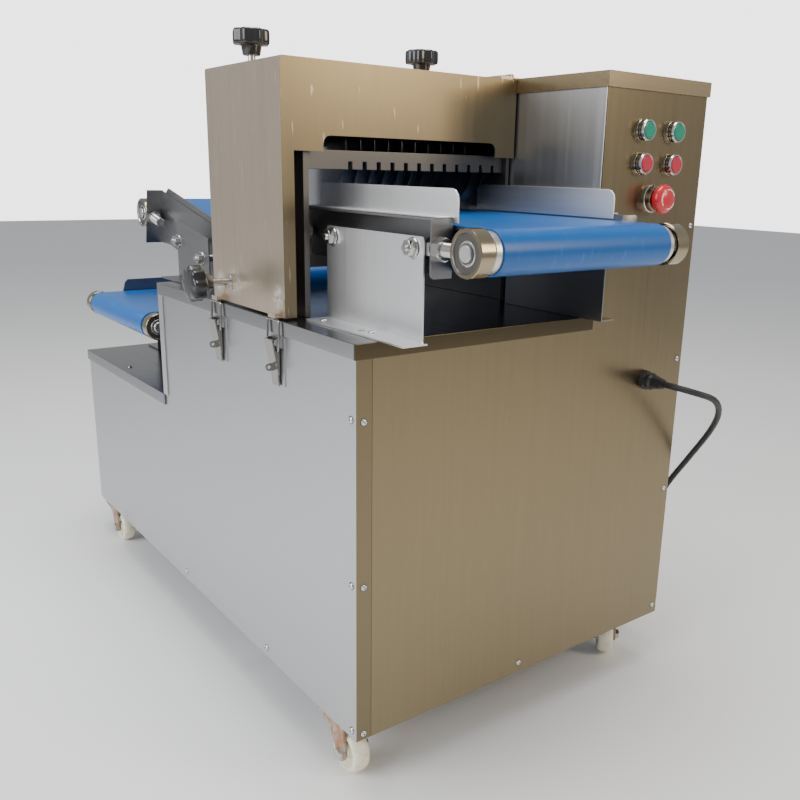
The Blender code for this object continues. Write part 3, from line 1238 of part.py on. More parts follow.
def make_drive():
    """Motor on the base frame, its pulley and the belt up to the arbor."""
    foot_top = FLOOR_CLEARANCE + BAR + GAP
    half = MOTOR_FOOT_WIDTH / 2
    body = cylinder((MOTOR_X[0], MOTOR_Y, MOTOR_Z), (MOTOR_X[1], MOTOR_Y, MOTOR_Z), MOTOR_RADIUS, 24)
    body = join(body, box((MOTOR_X[0] + 0.010, MOTOR_Y - half, foot_top),
                          (MOTOR_X[1] - 0.010, MOTOR_Y + half, foot_top + 0.010)),
                box((MOTOR_X[0] + 0.020, MOTOR_Y - half / 2, foot_top),
                    (MOTOR_X[1] - 0.020, MOTOR_Y + half / 2, MOTOR_Z)))
    bore = cylinder((MOTOR_X[0] - 0.001, MOTOR_Y, MOTOR_Z), (MOTOR_X[0] + 0.040, MOTOR_Y, MOTOR_Z),
                    ARBOR_RADIUS + SHAFT_CLEARANCE, 24)
    finish("drive_motor", cut(body, bore), "motor_paint")
    end = BELT_PULLEY_X + PULLEY_WIDTH
    profile = [(0, BELT_PULLEY_X), (MOTOR_PULLEY_RADIUS, BELT_PULLEY_X), (MOTOR_PULLEY_RADIUS, end),
               (ARBOR_RADIUS, end), (ARBOR_RADIUS, MOTOR_X[0] + 0.038), (0, MOTOR_X[0] + 0.038)]
    pivot = (BELT_PULLEY_X, MOTOR_Y, MOTOR_Z)
    finish("motor_pulley", turned(profile, "X", (0, MOTOR_Y, MOTOR_Z), sides=24), "machined_steel",
           pivot=pivot)
    centres = (ARBOR_Y, ARBOR_Z), (MOTOR_Y, MOTOR_Z)
    inner = open_loop(centres[0], ARBOR_PULLEY_RADIUS + GAP, centres[1], MOTOR_PULLEY_RADIUS + GAP)
    outer = open_loop(centres[0], ARBOR_PULLEY_RADIUS + GAP + DRIVE_BELT_THICKNESS,
                         centres[1], MOTOR_PULLEY_RADIUS + GAP + DRIVE_BELT_THICKNESS)
    finish("drive_belt", plate([outer, inner], "YZ", BELT_PULLEY_X, end), "black_rubber")


def make_head():
    make_head_frame()
    make_blade_gang()
    make_upper_comb()
    make_drive()


# Cover, knobs and latches

def make_cover():
    """Folded sheet cover, open below and to the right, with windows for the belt."""
    x0, x1 = COVER_X
    y0, y1 = COVER_Y
    z0, z1 = COVER_Z
    outer = rounded_rectangle((x0, z0), (x1, z1), (0, 0, 0, COVER_BEND))
    body = plate([outer], "XZ", y0, y1)
    inner = box((x0 + SHEET, y0 + SHEET, z0 - SHEET), (x1 + SHEET, y1 - SHEET, z1 - SHEET))
    low_window = box((WINDOW_LEFT_X, y0 - SHEET, z0 - SHEET), (x1 + SHEET, y1 + SHEET, WINDOW_LOW_Z))
    high = rounded_rectangle((WINDOW_STEP_X[0], z0), (WINDOW_STEP_X[1], WINDOW_HIGH_Z),
                             (0, 0, WINDOW_CORNER, WINDOW_CORNER))
    body = cut(body, inner, low_window, plate([high], "XZ", y0 - SHEET, y1 + SHEET))
    bore = KNOB_STUD_RADIUS + SHAFT_CLEARANCE
    for x, y in TOP_KNOBS:
        body = cut(body, cylinder((x, y, z1 - 2 * SHEET), (x, y, z1 + SHEET), bore, 16))
    body = cut(body, cylinder((x0 - SHEET, SIDE_KNOB_Y, SIDE_KNOB_Z),
                              (x0 + 2 * SHEET, SIDE_KNOB_Y, SIDE_KNOB_Z), bore, 16))
    nut = cylinder((x0 - SIDE_NUT, SIDE_KNOB_Y, SIDE_KNOB_Z), (x0 + SHEET / 2, SIDE_KNOB_Y, SIDE_KNOB_Z),
                   SIDE_NUT_RADIUS, 6)
    nut = cut(nut, cylinder((x0 - SIDE_NUT - SHEET, SIDE_KNOB_Y, SIDE_KNOB_Z),
                            (x0 + SHEET, SIDE_KNOB_Y, SIDE_KNOB_Z), bore, 16))
    body = join(body, nut)
    for y in LATCHES_Y.values():
        body = join(body, *catch(y))
    pin_x, pin_z = hinge_axis()
    leaf_x = pin_x - HINGE_LEAF_WIDTH
    spans = hinge_spans()
    body = join(body, box((leaf_x, spans[0][0], z1 - SHEET / 2),
                          (pin_x - HINGE_RADIUS - GAP, spans[-1][1], pin_z - HINGE_RADIUS + SHEET / 2)))
    for low_y, high_y in spans[::2]:
        barrel = cylinder((pin_x, low_y, pin_z), (pin_x, high_y, pin_z), HINGE_RADIUS, 12)
        web = box((leaf_x, low_y, z1 - SHEET / 2), (pin_x - GAP, high_y, pin_z))
        hole = cylinder((pin_x, low_y - GAP, pin_z), (pin_x, high_y + GAP, pin_z),
                        HINGE_PIN_RADIUS + SHAFT_CLEARANCE, 12)
        body = join(body, cut(join(barrel, web), hole))
    return finish("cover", body, "cover_steel", pivot=(pin_x, (y0 + y1) / 2, pin_z))


def catch(y):
    """Catch plate of one latch, narrower at the ledge that the bail sits under."""
    x0 = COVER_X[0]
    low = COVER_Z[0]
    wide = CATCH_WIDTH / 2
    neck = CATCH_NECK / 2
    lip = low + CATCH_LIP
    flare = low + CATCH_NECK_TOP
    top = low + CATCH_HEIGHT
    outline = [(y - neck, low), (y + neck, low), (y + neck, lip), (y + wide, flare), (y + wide, top),
               (y - wide, top), (y - wide, flare), (y - neck, lip)]
    back = x0 - LATCH_SHEET / 2
    front = x0 - CATCH_REACH
    ledge = [(back, low), (back, low + SHEET), (front + LATCH_SHEET, low + SHEET), (front + LATCH_SHEET, lip),
             (front, lip), (front, low)]
    return (plate([outline], "YZ", x0 - LATCH_SHEET, x0 + SHEET / 2),
            plate([ledge], "XZ", y - neck * 0.95, y + neck * 0.95))


def star(radius):
    """Lobed outline of a star knob."""
    steps = KNOB_LOBES * 6
    points = []
    for i in range(steps):
        angle = 2 * math.pi * i / steps
        reach = radius - KNOB_LOBE_DEPTH * (1 - math.cos(KNOB_LOBES * angle)) / 2
        points.append((reach * math.cos(angle), reach * math.sin(angle)))
    return points


def knob_body(stud_end, hub, plate_low):
    """Star knob along +Z: the head starts at plate_low, with its hub and stud below."""
    head = plate([star(KNOB_RADIUS)], "XY", plate_low, plate_low + KNOB_HEAD)
    hub_body = cylinder((0, 0, plate_low - hub), (0, 0, plate_low + 0.001), KNOB_HUB_RADIUS * 0.92, 16,
                        KNOB_HUB_RADIUS)
    stud = cylinder((0, 0, stud_end), (0, 0, plate_low), KNOB_STUD_RADIUS, 12)
    return join(head, hub_body, stud)


def make_knobs(cover):
    names = ("top_left_knob", "top_right_knob")
    top = COVER_Z[1]
    for name, (x, y) in zip(names, TOP_KNOBS):
        body = knob_body(top - TOP_KNOB_REACH, TOP_KNOB_HUB, TOP_KNOB_HEAD_Z)
        body.data.transform(Matrix.Translation((x, y, 0)))
        finish(name, body, "black_plastic", pivot=(x, y, top), parent=cover)
    body = knob_body(-COVER_X[0] - 0.012, SIDE_KNOB_HUB, -SIDE_KNOB_HEAD_X)
    turn = Matrix.Rotation(math.radians(-90), 4, "Y")
    body.data.transform(Matrix.Translation((0, SIDE_KNOB_Y, SIDE_KNOB_Z)) @ turn)
    finish("side_knob", body, "black_plastic", pivot=(COVER_X[0], SIDE_KNOB_Y, SIDE_KNOB_Z), parent=cover)


def lever_front(z):
    """X of the lever's sloping front face at a height."""
    share = (LEVER_TOP[1] - z) / (LEVER_TOP[1] - LEVER_TIP[1])
    return LEVER_TOP[0] + (LEVER_TIP[0] - LEVER_TOP[0]) * share


def make_lever(name, y):
    """Channel lever on the pin between the base's ears, with a padlock eye and a finger tab."""
    half = LEVER_WIDTH / 2
    top = LEVER_TOP[1]
    tip = LEVER_TIP[1]
    cheek = [(LEVER_REAR_X, top), LEVER_TOP, LEVER_TIP, (LEVER_REAR_X, tip)]
    body = plate([cheek], "XZ", y - half, y + half)
    low = tip - SHEET
    high = top + SHEET
    hollow = [(LEVER_REAR_X + SHEET, low), (LEVER_REAR_X + SHEET, high),
              (lever_front(high) + LATCH_SHEET, high),
              (lever_front(low) + LATCH_SHEET, low)]
    body = cut(body, plate([hollow], "XZ", y - half + LATCH_SHEET, y + half - LATCH_SHEET))
    tab = [(lever_front(tip + 0.004), tip + 0.004), (lever_front(tip) + 0.001, LEVER_TAB_Z),
           (lever_front(tip) + 0.001 + LATCH_SHEET, LEVER_TAB_Z),
           (lever_front(tip) + LATCH_SHEET, tip + 0.004)]
    body = join(body, plate([tab], "XZ", y - half * 0.85, y + half * 0.85))
    root = lever_front(EYE_Z) + LATCH_SHEET / 2
    eye = [(root, EYE_Z + EYE_RADIUS), *arc((-EYE_REACH, EYE_Z), EYE_RADIUS, 90, 270, 8),
           (root, EYE_Z - EYE_RADIUS)]
    hole = circle((-EYE_REACH, EYE_Z), EYE_RADIUS / 2, 12)
    body = join(body, plate([eye, hole], "XZ", y - LATCH_SHEET / 2, y + LATCH_SHEET / 2))
    for x, z, radius in ((LATCH_PIVOT_X, LATCH_PIVOT_Z, LATCH_PIN_RADIUS),
                         (BAIL_PIVOT_X, BAIL_PIVOT_Z, BAIL_RADIUS)):
        body = cut(body, cylinder((x, y - LEVER_WIDTH, z), (x, y + LEVER_WIDTH, z),
                                  radius + SHAFT_CLEARANCE, 12))
    return finish(name + "_latch_lever", body, "latch_steel", pivot=(LATCH_PIVOT_X, y, LATCH_PIVOT_Z))


def make_bail(name, y, lever):
    """Wire loop whose ends turn in the lever and whose top bar reaches the catch."""
    inner = LEVER_WIDTH / 2 - 0.003
    wide = BAIL_HALF_WIDTH
    corner = 0.002
    half = [(y + inner, BAIL_PIVOT_X, BAIL_PIVOT_Z), (y + wide - corner, BAIL_PIVOT_X, BAIL_PIVOT_Z),
            (y + wide, BAIL_PIVOT_X, BAIL_PIVOT_Z + corner), (y + wide, BAIL_TOP_X, BAIL_TOP_Z - corner),
            (y + wide - corner, BAIL_TOP_X, BAIL_TOP_Z)]
    points = half + [(2 * y - across, x, z) for across, x, z in reversed(half)]
    body = wire([(x, across, z) for across, x, z in points], BAIL_RADIUS, 1)
    finish(name + "_latch_bail", body, "latch_steel", pivot=(BAIL_PIVOT_X, y, BAIL_PIVOT_Z), parent=lever)


def make_cover_group():
    cover = make_cover()
    make_knobs(cover)
    for name, y in LATCHES_Y.items():
        lever = make_lever(name, y)
        make_bail(name, y, lever)


# Controls

def make_controls():
    sides = ("left", "right")
    for side, x in zip(sides, BUTTON_COLUMNS_X):
        for colour, z in BUTTON_ROWS_Z.items():
            front = -BEZEL_DEPTH - BUTTON_PROUD
            profile = [(0, front), (BUTTON_RADIUS - 0.001, front), (BUTTON_RADIUS, front + 0.001),
                       (BUTTON_RADIUS, front + BUTTON_LENGTH), (0, front + BUTTON_LENGTH)]
            finish(colour + "_button_" + side, turned(profile, "Y", (x, 0, z), sides=16), colour + "_cap",
                   pivot=(x, front, z))
    crown = 0.005
    profile = [(0, STOP_FRONT_Y), (STOP_RADIUS * 0.6, STOP_FRONT_Y + 0.001),
               (STOP_RADIUS - 0.002, STOP_FRONT_Y + crown),
               (STOP_RADIUS, STOP_FRONT_Y + 0.009), (STOP_RADIUS - 0.001, STOP_BACK_Y),
               (STOP_STEM_RADIUS, STOP_BACK_Y),
               (STOP_STEM_RADIUS, -0.0055), (0, -0.0055)]
    finish("stop_button", turned(profile, "Y", (STOP_X, 0, STOP_Z)), "red_cap",
           pivot=(STOP_X, STOP_FRONT_Y, STOP_Z))


# Power cord

def smooth_route(points, spacing):
    """Evenly spaced points on a smooth curve through the route's own points."""
    points = [Vector(point) for point in points]
    padded = [2 * points[0] - points[1], *points, 2 * points[-1] - points[-2]]
    fine = []
    for a, b, c, d in zip(padded, padded[1:], padded[2:], padded[3:]):
        for i in range(20):
            t = i / 20
            fine.append(0.5 * (2 * b + (c - a) * t + (2 * a - 5 * b + 4 * c - d) * t * t
                               + (3 * b - a - 3 * c + d) * t * t * t))
    fine.append(points[-1])
    lengths = [0]
    for first, second in zip(fine, fine[1:]):
        lengths.append(lengths[-1] + (second - first).length)
    count = round(lengths[-1] / spacing)
    even = []
    index = 0
    for i in range(count + 1):
        goal = lengths[-1] * i / count
        while index < len(fine) - 2 and lengths[index + 1] < goal:
            index += 1
        share = (goal - lengths[index]) / (lengths[index + 1] - lengths[index])
        even.append(fine[index].lerp(fine[index + 1], share))
    return even


def make_cord():
    tip = 0.0072
    profile = [(0, -GAP), (GLAND_RADIUS + 0.002, -GAP), (GLAND_RADIUS + 0.002, -0.005),
               (GLAND_RADIUS, -0.006),
               (GLAND_RADIUS, -0.024), (0.010, -0.032), (tip, -GLAND_LENGTH), (0, -GLAND_LENGTH)]
    finish("cable_gland", turned(profile, "Y", (GLAND_X, 0, GLAND_Z), sides=12), "black_plastic")
    radius = CORD_DIAMETER / 2
    finish("power_cord", wire(smooth_route(CORD_ROUTE, 2.2 * CORD_DIAMETER), radius), "black_rubber")
    x, y = COIL_CENTRE
    inner = COIL_MEAN_RADIUS - COIL_HALF_WIDTH
    outer = COIL_MEAN_RADIUS + COIL_HALF_WIDTH
    chamfer = 0.003
    ring = [(inner, GAP + chamfer), (inner + chamfer, GAP), (outer - chamfer, GAP), (outer, GAP + chamfer),
            (outer, COIL_HEIGHT - chamfer), (outer - chamfer, COIL_HEIGHT), (inner + chamfer, COIL_HEIGHT),
            (inner, COIL_HEIGHT - chamfer)]
    coil = turned(ring, "Z", (x, y, 0), sides=24, closed=True)
    finish("cord_coil", coil, "black_rubber")
    length, width, height = PLUG_SIZE
    low = (x + PLUG_OFFSET[0], y + PLUG_OFFSET[1], GAP)
    body = box(low, (low[0] + length, low[1] + width, height))
    finish("power_plug", body, "black_plastic")


ROOT = bpy.data.objects.new("machine", None)
ROOT.location = (-ORIGIN_X, -ORIGIN_Y, 0)
PARTS.objects.link(ROOT)
make_cabinet()
make_casters()
make_infeed()
make_outfeed()
make_cross()
make_head()
make_cover_group()
make_controls()
make_cord()
bpy.data.collections.remove(BENCH)
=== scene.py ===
"""Looks of the frozen meat slicer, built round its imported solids, with a camera and a studio."""
import json
import math

import bmesh
import bpy
from bpy.props import FloatProperty, FloatVectorProperty, IntProperty, PointerProperty
from mathutils import Matrix, Vector


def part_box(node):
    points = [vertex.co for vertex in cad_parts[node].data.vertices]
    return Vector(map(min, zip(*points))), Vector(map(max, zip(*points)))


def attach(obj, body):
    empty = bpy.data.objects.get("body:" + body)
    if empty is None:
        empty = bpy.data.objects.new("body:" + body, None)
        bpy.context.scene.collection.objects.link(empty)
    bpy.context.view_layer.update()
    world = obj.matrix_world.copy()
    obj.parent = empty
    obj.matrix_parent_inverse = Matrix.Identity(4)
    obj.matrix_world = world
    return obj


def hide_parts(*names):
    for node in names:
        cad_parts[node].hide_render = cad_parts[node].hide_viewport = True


bl_info = {
    "name": "Frozen meat slicer",
    "version": (1, 0, 0),
    "blender": (4, 5, 0),
    "location": "3D View > Sidebar > Slicer",
    "description": "Dresses the packed slicer with detailed pieces and finishes",
    "category": "Object",
}

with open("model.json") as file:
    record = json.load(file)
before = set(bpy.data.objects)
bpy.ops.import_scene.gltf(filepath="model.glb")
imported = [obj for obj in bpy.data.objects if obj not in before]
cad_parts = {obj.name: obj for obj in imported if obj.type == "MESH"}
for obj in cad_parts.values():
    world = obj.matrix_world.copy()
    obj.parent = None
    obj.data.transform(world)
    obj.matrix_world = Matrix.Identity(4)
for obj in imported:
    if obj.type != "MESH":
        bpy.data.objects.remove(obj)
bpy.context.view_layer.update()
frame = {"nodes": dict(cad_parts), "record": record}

# The cabinet's own corner, as the solids place it in the row frame
CORNER = Vector((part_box("right_panel")[1].x - 0.600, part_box("front_panel")[1].y - 0.002, 0))


def at(x, y, z):
    """Point of the row frame for a place measured from the cabinet's front left corner."""
    return Vector((x, y, z)) + CORNER


# Sizes shared by several pieces, in metres from the cabinet's corner
BELT_X = (0.0985, 0.3735)
INFEED_FRONT = (-0.108, 0.720)
INFEED_REAR = (0.320, 0.720)
OUTFEED_REAR = (0.863, 0.714)
OUTFEED_SLOPE = math.radians(12.4)
OUTFEED_LENGTH = 0.418
CROSS_Z = 0.530
CROSS_X = (0.010, 0.400)
CROSS_Y = (0.680, 0.965)
ARBOR = (0.285, 0.835)
HOUSING = 0.0265
CROSS_HOUSING = 0.023
CROSS_NEAR_Y = (0.6515, 0.6705)
CROSS_FAR_Y = (0.974, 0.993)
LEFT_RING_X = (0.066, 0.086)
OUTFEED_BOLT_DROP = 0.005
BRACKET_X = 0.0602
RIGHT_RING_X = (0.388, 0.408)
SIDE_KNOB = (0.318, 0.648)
TOP_KNOBS = {"top_left_knob": (0.032, 0.305), "top_right_knob": (0.311, 0.305)}
BUTTONS_X = {"left": 0.4625, "right": 0.5265}
BUTTONS_Z = {"green": 0.863, "red": 0.819}
STOP = (0.493, 0.772)
GLAND = (0.514, 0.506)
CASTERS = {"front_left": (0.030, 0.082, 270), "front_right": (0.570, 0.082, 225),
           "rear_left": (0.030, 1.018, 270), "rear_right": (0.570, 1.018, 245)}
CORD_ROUTE = (
    (0.514, -0.0383, 0.5060), (0.514, -0.0560, 0.5060), (0.528, -0.0840, 0.5010),
    (0.560, -0.0950, 0.4880), (0.592, -0.0830, 0.4600), (0.616, -0.0550, 0.4200),
    (0.628, -0.0150, 0.3650), (0.633, 0.0280, 0.3000), (0.636, 0.0620, 0.2250),
    (0.639, 0.0860, 0.1500), (0.642, 0.1040, 0.0850), (0.646, 0.1200, 0.0420),
    (0.649, 0.1420, 0.0150), (0.650, 0.1700, 0.0062), (0.650, 0.2050, 0.0060),
)
COIL_CENTRE = (0.7165, 0.2050)


def incline(along, across):
    """Y and Z on the outfeed conveyor, from its rear drum along and across its slope."""
    return (OUTFEED_REAR[0] + along * math.cos(OUTFEED_SLOPE) - across * math.sin(OUTFEED_SLOPE),
            OUTFEED_REAR[1] + along * math.sin(OUTFEED_SLOPE) + across * math.cos(OUTFEED_SLOPE))


# Shader graphs

class Value:
    """A number socket that does its sums with Math nodes."""

    def __init__(self, graph, socket):
        self.graph = graph
        self.socket = socket

    def math(self, operation, *inputs, clamp=False):
        node = self.graph.node("Math", {"operation": operation, "use_clamp": clamp}, dict(enumerate(inputs)))
        return Value(self.graph, node.outputs[0])

    def __add__(self, other):
        return self.math("ADD", self, other)

    __radd__ = __add__

    def __sub__(self, other):
        return self.math("SUBTRACT", self, other)

    def __rsub__(self, other):
        return self.math("SUBTRACT", other, self)

    def __mul__(self, other):
        return self.math("MULTIPLY", self, other)

    __rmul__ = __mul__

    def __truediv__(self, other):
        return self.math("DIVIDE", self, other)

    def clamped(self):
        return self.math("ADD", self, 0.0, clamp=True)


class Graph:
    """Node graph of one material, with its Principled shader."""

    def __init__(self, name):
        self.material = bpy.data.materials.new(name)
        self.material.use_nodes = True
        self.tree = self.material.node_tree
        self.tree.nodes.clear()
        self.shader = self.tree.nodes.new("ShaderNodeBsdfPrincipled")
        out = self.tree.nodes.new("ShaderNodeOutputMaterial")
        self.tree.links.new(self.shader.outputs[0], out.inputs[0])

    def node(self, kind, settings=None, inputs=None):
        """Add a node, give it its settings first, then the values or links of its sockets."""
        node = self.tree.nodes.new("ShaderNode" + kind)
        for key, value in (settings or {}).items():
            if key == "stops":
                self.set_stops(node.color_ramp, value)
            else:
                setattr(node, key, value)
        for key, value in (inputs or {}).items():
            self.feed(node.inputs[key], value)
        return node

    def set_stops(self, ramp, stops):
        while len(ramp.elements) < len(stops):
            ramp.elements.new(1.0)
        for element, (place, shade) in zip(ramp.elements, stops):
            element.position = place
            element.color = (*shade, 1) if isinstance(shade, tuple) else (shade, shade, shade, 1)

    def feed(self, socket, value):
        if isinstance(value, Value):
            self.tree.links.new(value.socket, socket)
        elif isinstance(value, bpy.types.NodeSocket):
            self.tree.links.new(value, socket)
        elif socket.type == "RGBA" and len(value) == 3:
            socket.default_value = (*value, 1)
        else:
            socket.default_value = value

    def set(self, **inputs):
        names = {"colour": "Base Color", "roughness": "Roughness", "metallic": "Metallic", "normal": "Normal",
                 "coat": "Coat Weight", "coat_roughness": "Coat Roughness", "specular": "Specular IOR Level"}
        for key, value in inputs.items():
            self.feed(self.shader.inputs[names[key]], value)
        return self.material

    def place(self, scale=(1, 1, 1), offset=(0, 0, 0)):
        """Object coordinates, stretched and shifted."""
        source = self.node("TexCoord").outputs["Object"]
        inputs = {"Vector": source, "Scale": scale, "Location": offset}
        return self.node("Mapping", {"vector_type": "POINT"}, inputs).outputs[0]

    def noise(self, scale=(1, 1, 1), detail=3.0, roughness=0.5, size=1.0, offset=(0, 0, 0)):
        inputs = {"Vector": self.place(scale, offset), "Scale": size, "Detail": detail,
                  "Roughness": roughness}
        return Value(self, self.node("TexNoise", {}, inputs).outputs[0])

    def ramp(self, value, *stops):
        node = self.node("ValToRGB", {"stops": stops}, {"Fac": value})
        return node.outputs[0]

    def level(self, value, low, high):
        """Grey ramp from 0 at low to 1 at high, kept as a number."""
        inputs = {"Value": value, "From Min": low, "From Max": high, "To Min": 0.0, "To Max": 1.0}
        return Value(self, self.node("MapRange", {"clamp": True}, inputs).outputs[0])

    def mix(self, factor, first, second):
        settings = {"data_type": "RGBA", "clamp_factor": True}
        node = self.node("Mix", settings)
        self.feed(node.inputs[0], factor)
        self.feed(node.inputs[6], first)
        self.feed(node.inputs[7], second)
        return node.outputs[2]

    def bump(self, height, distance, strength=0.5):
        inputs = {"Strength": strength, "Distance": distance, "Height": height}
        return self.node("Bump", {}, inputs).outputs[0]

    def axis(self, name, offset=(0, 0, 0)):
        """One coordinate in metres, measured from a point."""
        shifted = self.place(offset=tuple(-v for v in offset))
        return Value(self, self.node("SeparateXYZ", {}, {"Vector": shifted}).outputs[name])

    def reach(self, centre, scale=(1, 1, 1)):
        """Distance from a point, with each direction stretched."""
        offset = tuple(-c * s for c, s in zip(centre, scale))
        inputs = {0: self.place(scale, offset)}
        return Value(self, self.node("VectorMath", {"operation": "LENGTH"}, inputs).outputs["Value"])


def shade(colour, factor):
    return tuple(min(1.0, c * factor) for c in colour)


FINE = 900
LONG = 9
GRAINS = {"x": (LONG, FINE, FINE), "y": (FINE, LONG, FINE), "z": (FINE, FINE, LONG)}
BROAD = {"x": (1.5, 120, 120), "y": (120, 1.5, 120), "z": (120, 120, 1.5)}


def brushed(name, colour, roughness=0.30, grain="z", streak=0.10, cloud=0.12, scratches=0.0, dirt=0.0,
            front=None, marks=()):
    """Stainless sheet with a brushed grain, soft clouds, a few scratches and handling marks, and where asked
    a painted warm reflection on the faces in front of a depth.
    """
    graph = Graph(name)
    fine = graph.noise(GRAINS[grain], detail=2.0, roughness=0.6)
    broad = graph.noise(BROAD[grain], detail=3.0, roughness=0.55)
    clouds = graph.noise((3.1, 3.1, 3.1), detail=3.0, roughness=0.55)
    tone = (fine - 0.5) * streak + (broad - 0.5) * streak * 1.4 + (clouds - 0.5) * cloud + 0.5
    surface = graph.mix(tone.clamped(), shade(colour, 0.72), shade(colour, 1.28))
    rough = roughness + (clouds - 0.5) * 0.10 + (broad - 0.5) * 0.08
    # Painted warm reflection: the faces in front of the given depth in Y take a warmer tone.
    if front:
        depth, painted_reflection_colour = front
        front_reflection_mask = graph.level(graph.axis("Y", at(0, depth, 0)), 0.0004, 0.0002)
        surface = graph.mix(front_reflection_mask, surface, graph.mix(tone.clamped(), shade(painted_reflection_colour, 0.8),
                                                     shade(painted_reflection_colour, 1.2)))
    for place, size in marks:
        near = graph.level(graph.reach(at(*place)) + (broad - 0.5) * size * 0.5, size, size * 0.35)
        ring = near * graph.level(graph.noise((160, 160, 160), detail=4.0), 0.35, 0.65)
        surface = graph.mix(ring * 0.8, surface, (0.80, 0.80, 0.82))
        rough = rough + ring * 0.2
    if scratches:
        lines = graph.noise((90, 260, 14), detail=1.0, size=1.4)
        scores = graph.level(lines, 0.70, 0.74) * scratches
        surface = graph.mix(scores, surface, shade(colour, 1.6))
        rough = rough + scores * 0.12
    if dirt:
        spots = graph.level(graph.noise((26, 26, 26), detail=5.0, roughness=0.7), 0.62, 0.80) * dirt
        surface = graph.mix(spots, surface, shade(colour, 0.55))
        rough = rough + spots * 0.15
    normal = graph.bump(fine * 0.6 + broad, 0.00008, 0.35)
    return graph.set(colour=surface, roughness=rough.clamped(), metallic=1.0, normal=normal)


def machined(name, colour, roughness=0.22, axis="X", rings=1400):
    """Turned or ground metal with fine tool marks along one axis."""
    graph = Graph(name)
    scale = {"X": (rings, 20, 20), "Y": (20, rings, 20), "Z": (20, 20, rings)}[axis]
    marks = graph.noise(scale, detail=1.0)
    clouds = graph.noise((14, 14, 14), detail=3.0)
    tone = ((marks - 0.5) * 0.35 + (clouds - 0.5) * 0.30 + 0.5).clamped()
    surface = graph.mix(tone, shade(colour, 0.70), shade(colour, 1.25))
    rough = roughness + (marks - 0.5) * 0.10 + (clouds - 0.5) * 0.10
    normal = graph.bump(marks, 0.00005, 0.3)
    return graph.set(colour=surface, roughness=rough.clamped(), metallic=1.0, normal=normal)


def moulded(name, colour, roughness=0.35, coat=0.0, speckle=0.05, grime=0.0, grain=0.00005):
    """Plastic, rubber or nylon with a fine texture and a little wear."""
    graph = Graph(name)
    pores = graph.noise((700, 700, 700), detail=2.0)
    clouds = graph.noise((22, 22, 22), detail=4.0, roughness=0.6)
    tone = ((pores - 0.5) * speckle * 2 + (clouds - 0.5) * speckle * 4 + 0.5).clamped()
    surface = graph.mix(tone, shade(colour, 0.80), shade(colour, 1.20))
    if grime:
        stains = graph.level(graph.noise((60, 60, 60), detail=6.0, roughness=0.7), 0.52, 0.72) * grime
        surface = graph.mix(stains, surface, shade((0.30, 0.20, 0.11), 0.6))
    rough = roughness + (clouds - 0.5) * 0.16
    normal = graph.bump(pores, grain, 0.4)
    return graph.set(colour=surface, roughness=rough.clamped(), metallic=0.0, coat=coat, normal=normal)


def rusty(name, steel, rust, amount):
    """Plated steel with brown rust in blotches."""
    graph = Graph(name)
    blotches = graph.noise((75, 75, 75), detail=7.0, roughness=0.72)
    mask = graph.level(blotches, 0.58 - amount * 0.22, 0.66 - amount * 0.16)
    grains = graph.noise((600, 600, 600), detail=3.0)
    brown = graph.mix(grains, shade(rust, 0.55), shade(rust, 1.5))
    plated = graph.mix(graph.noise((40, 40, 40), detail=3.0), shade(steel, 0.7), shade(steel, 1.2))
    surface = graph.mix(mask, plated, brown)
    rough = 0.34 + mask * 0.45
    normal = graph.bump(blotches * 0.7 + grains * mask, 0.0003, 0.5)
    return graph.set(colour=surface, roughness=rough.clamped(), metallic=(1 - mask * 0.85).clamped(),
                     normal=normal)


def belting(name, colour):
    """Blue polyurethane belt with a fine matt weave showing through and faint cross lines."""
    graph = Graph(name)
    pores = graph.noise((1200, 1200, 1200), detail=2.0)
    clouds = graph.noise((9, 9, 9), detail=3.0)
    scuffs = graph.level(graph.noise((160, 12, 40), detail=2.0), 0.62, 0.74)
    tone = ((clouds - 0.5) * 0.5 + (pores - 0.5) * 0.2 + 0.5).clamped()
    surface = graph.mix(tone, shade(colour, 0.82), shade(colour, 1.15))
    surface = graph.mix(scuffs * 0.16, surface, (0.10, 0.36, 0.80))
    rough = 0.34 + (clouds - 0.5) * 0.12 + scuffs * 0.08
    normal = graph.bump(pores, 0.00005, 0.35)
    return graph.set(colour=surface, roughness=rough.clamped(), metallic=0.0, normal=normal)


FINISHES = {}
WELD_MARKS = (((0.003, 0.318, 0.648), 0.024), ((0.003, 0.190, 0.642), 0.018), ((0.003, 0.368, 0.642), 0.018))


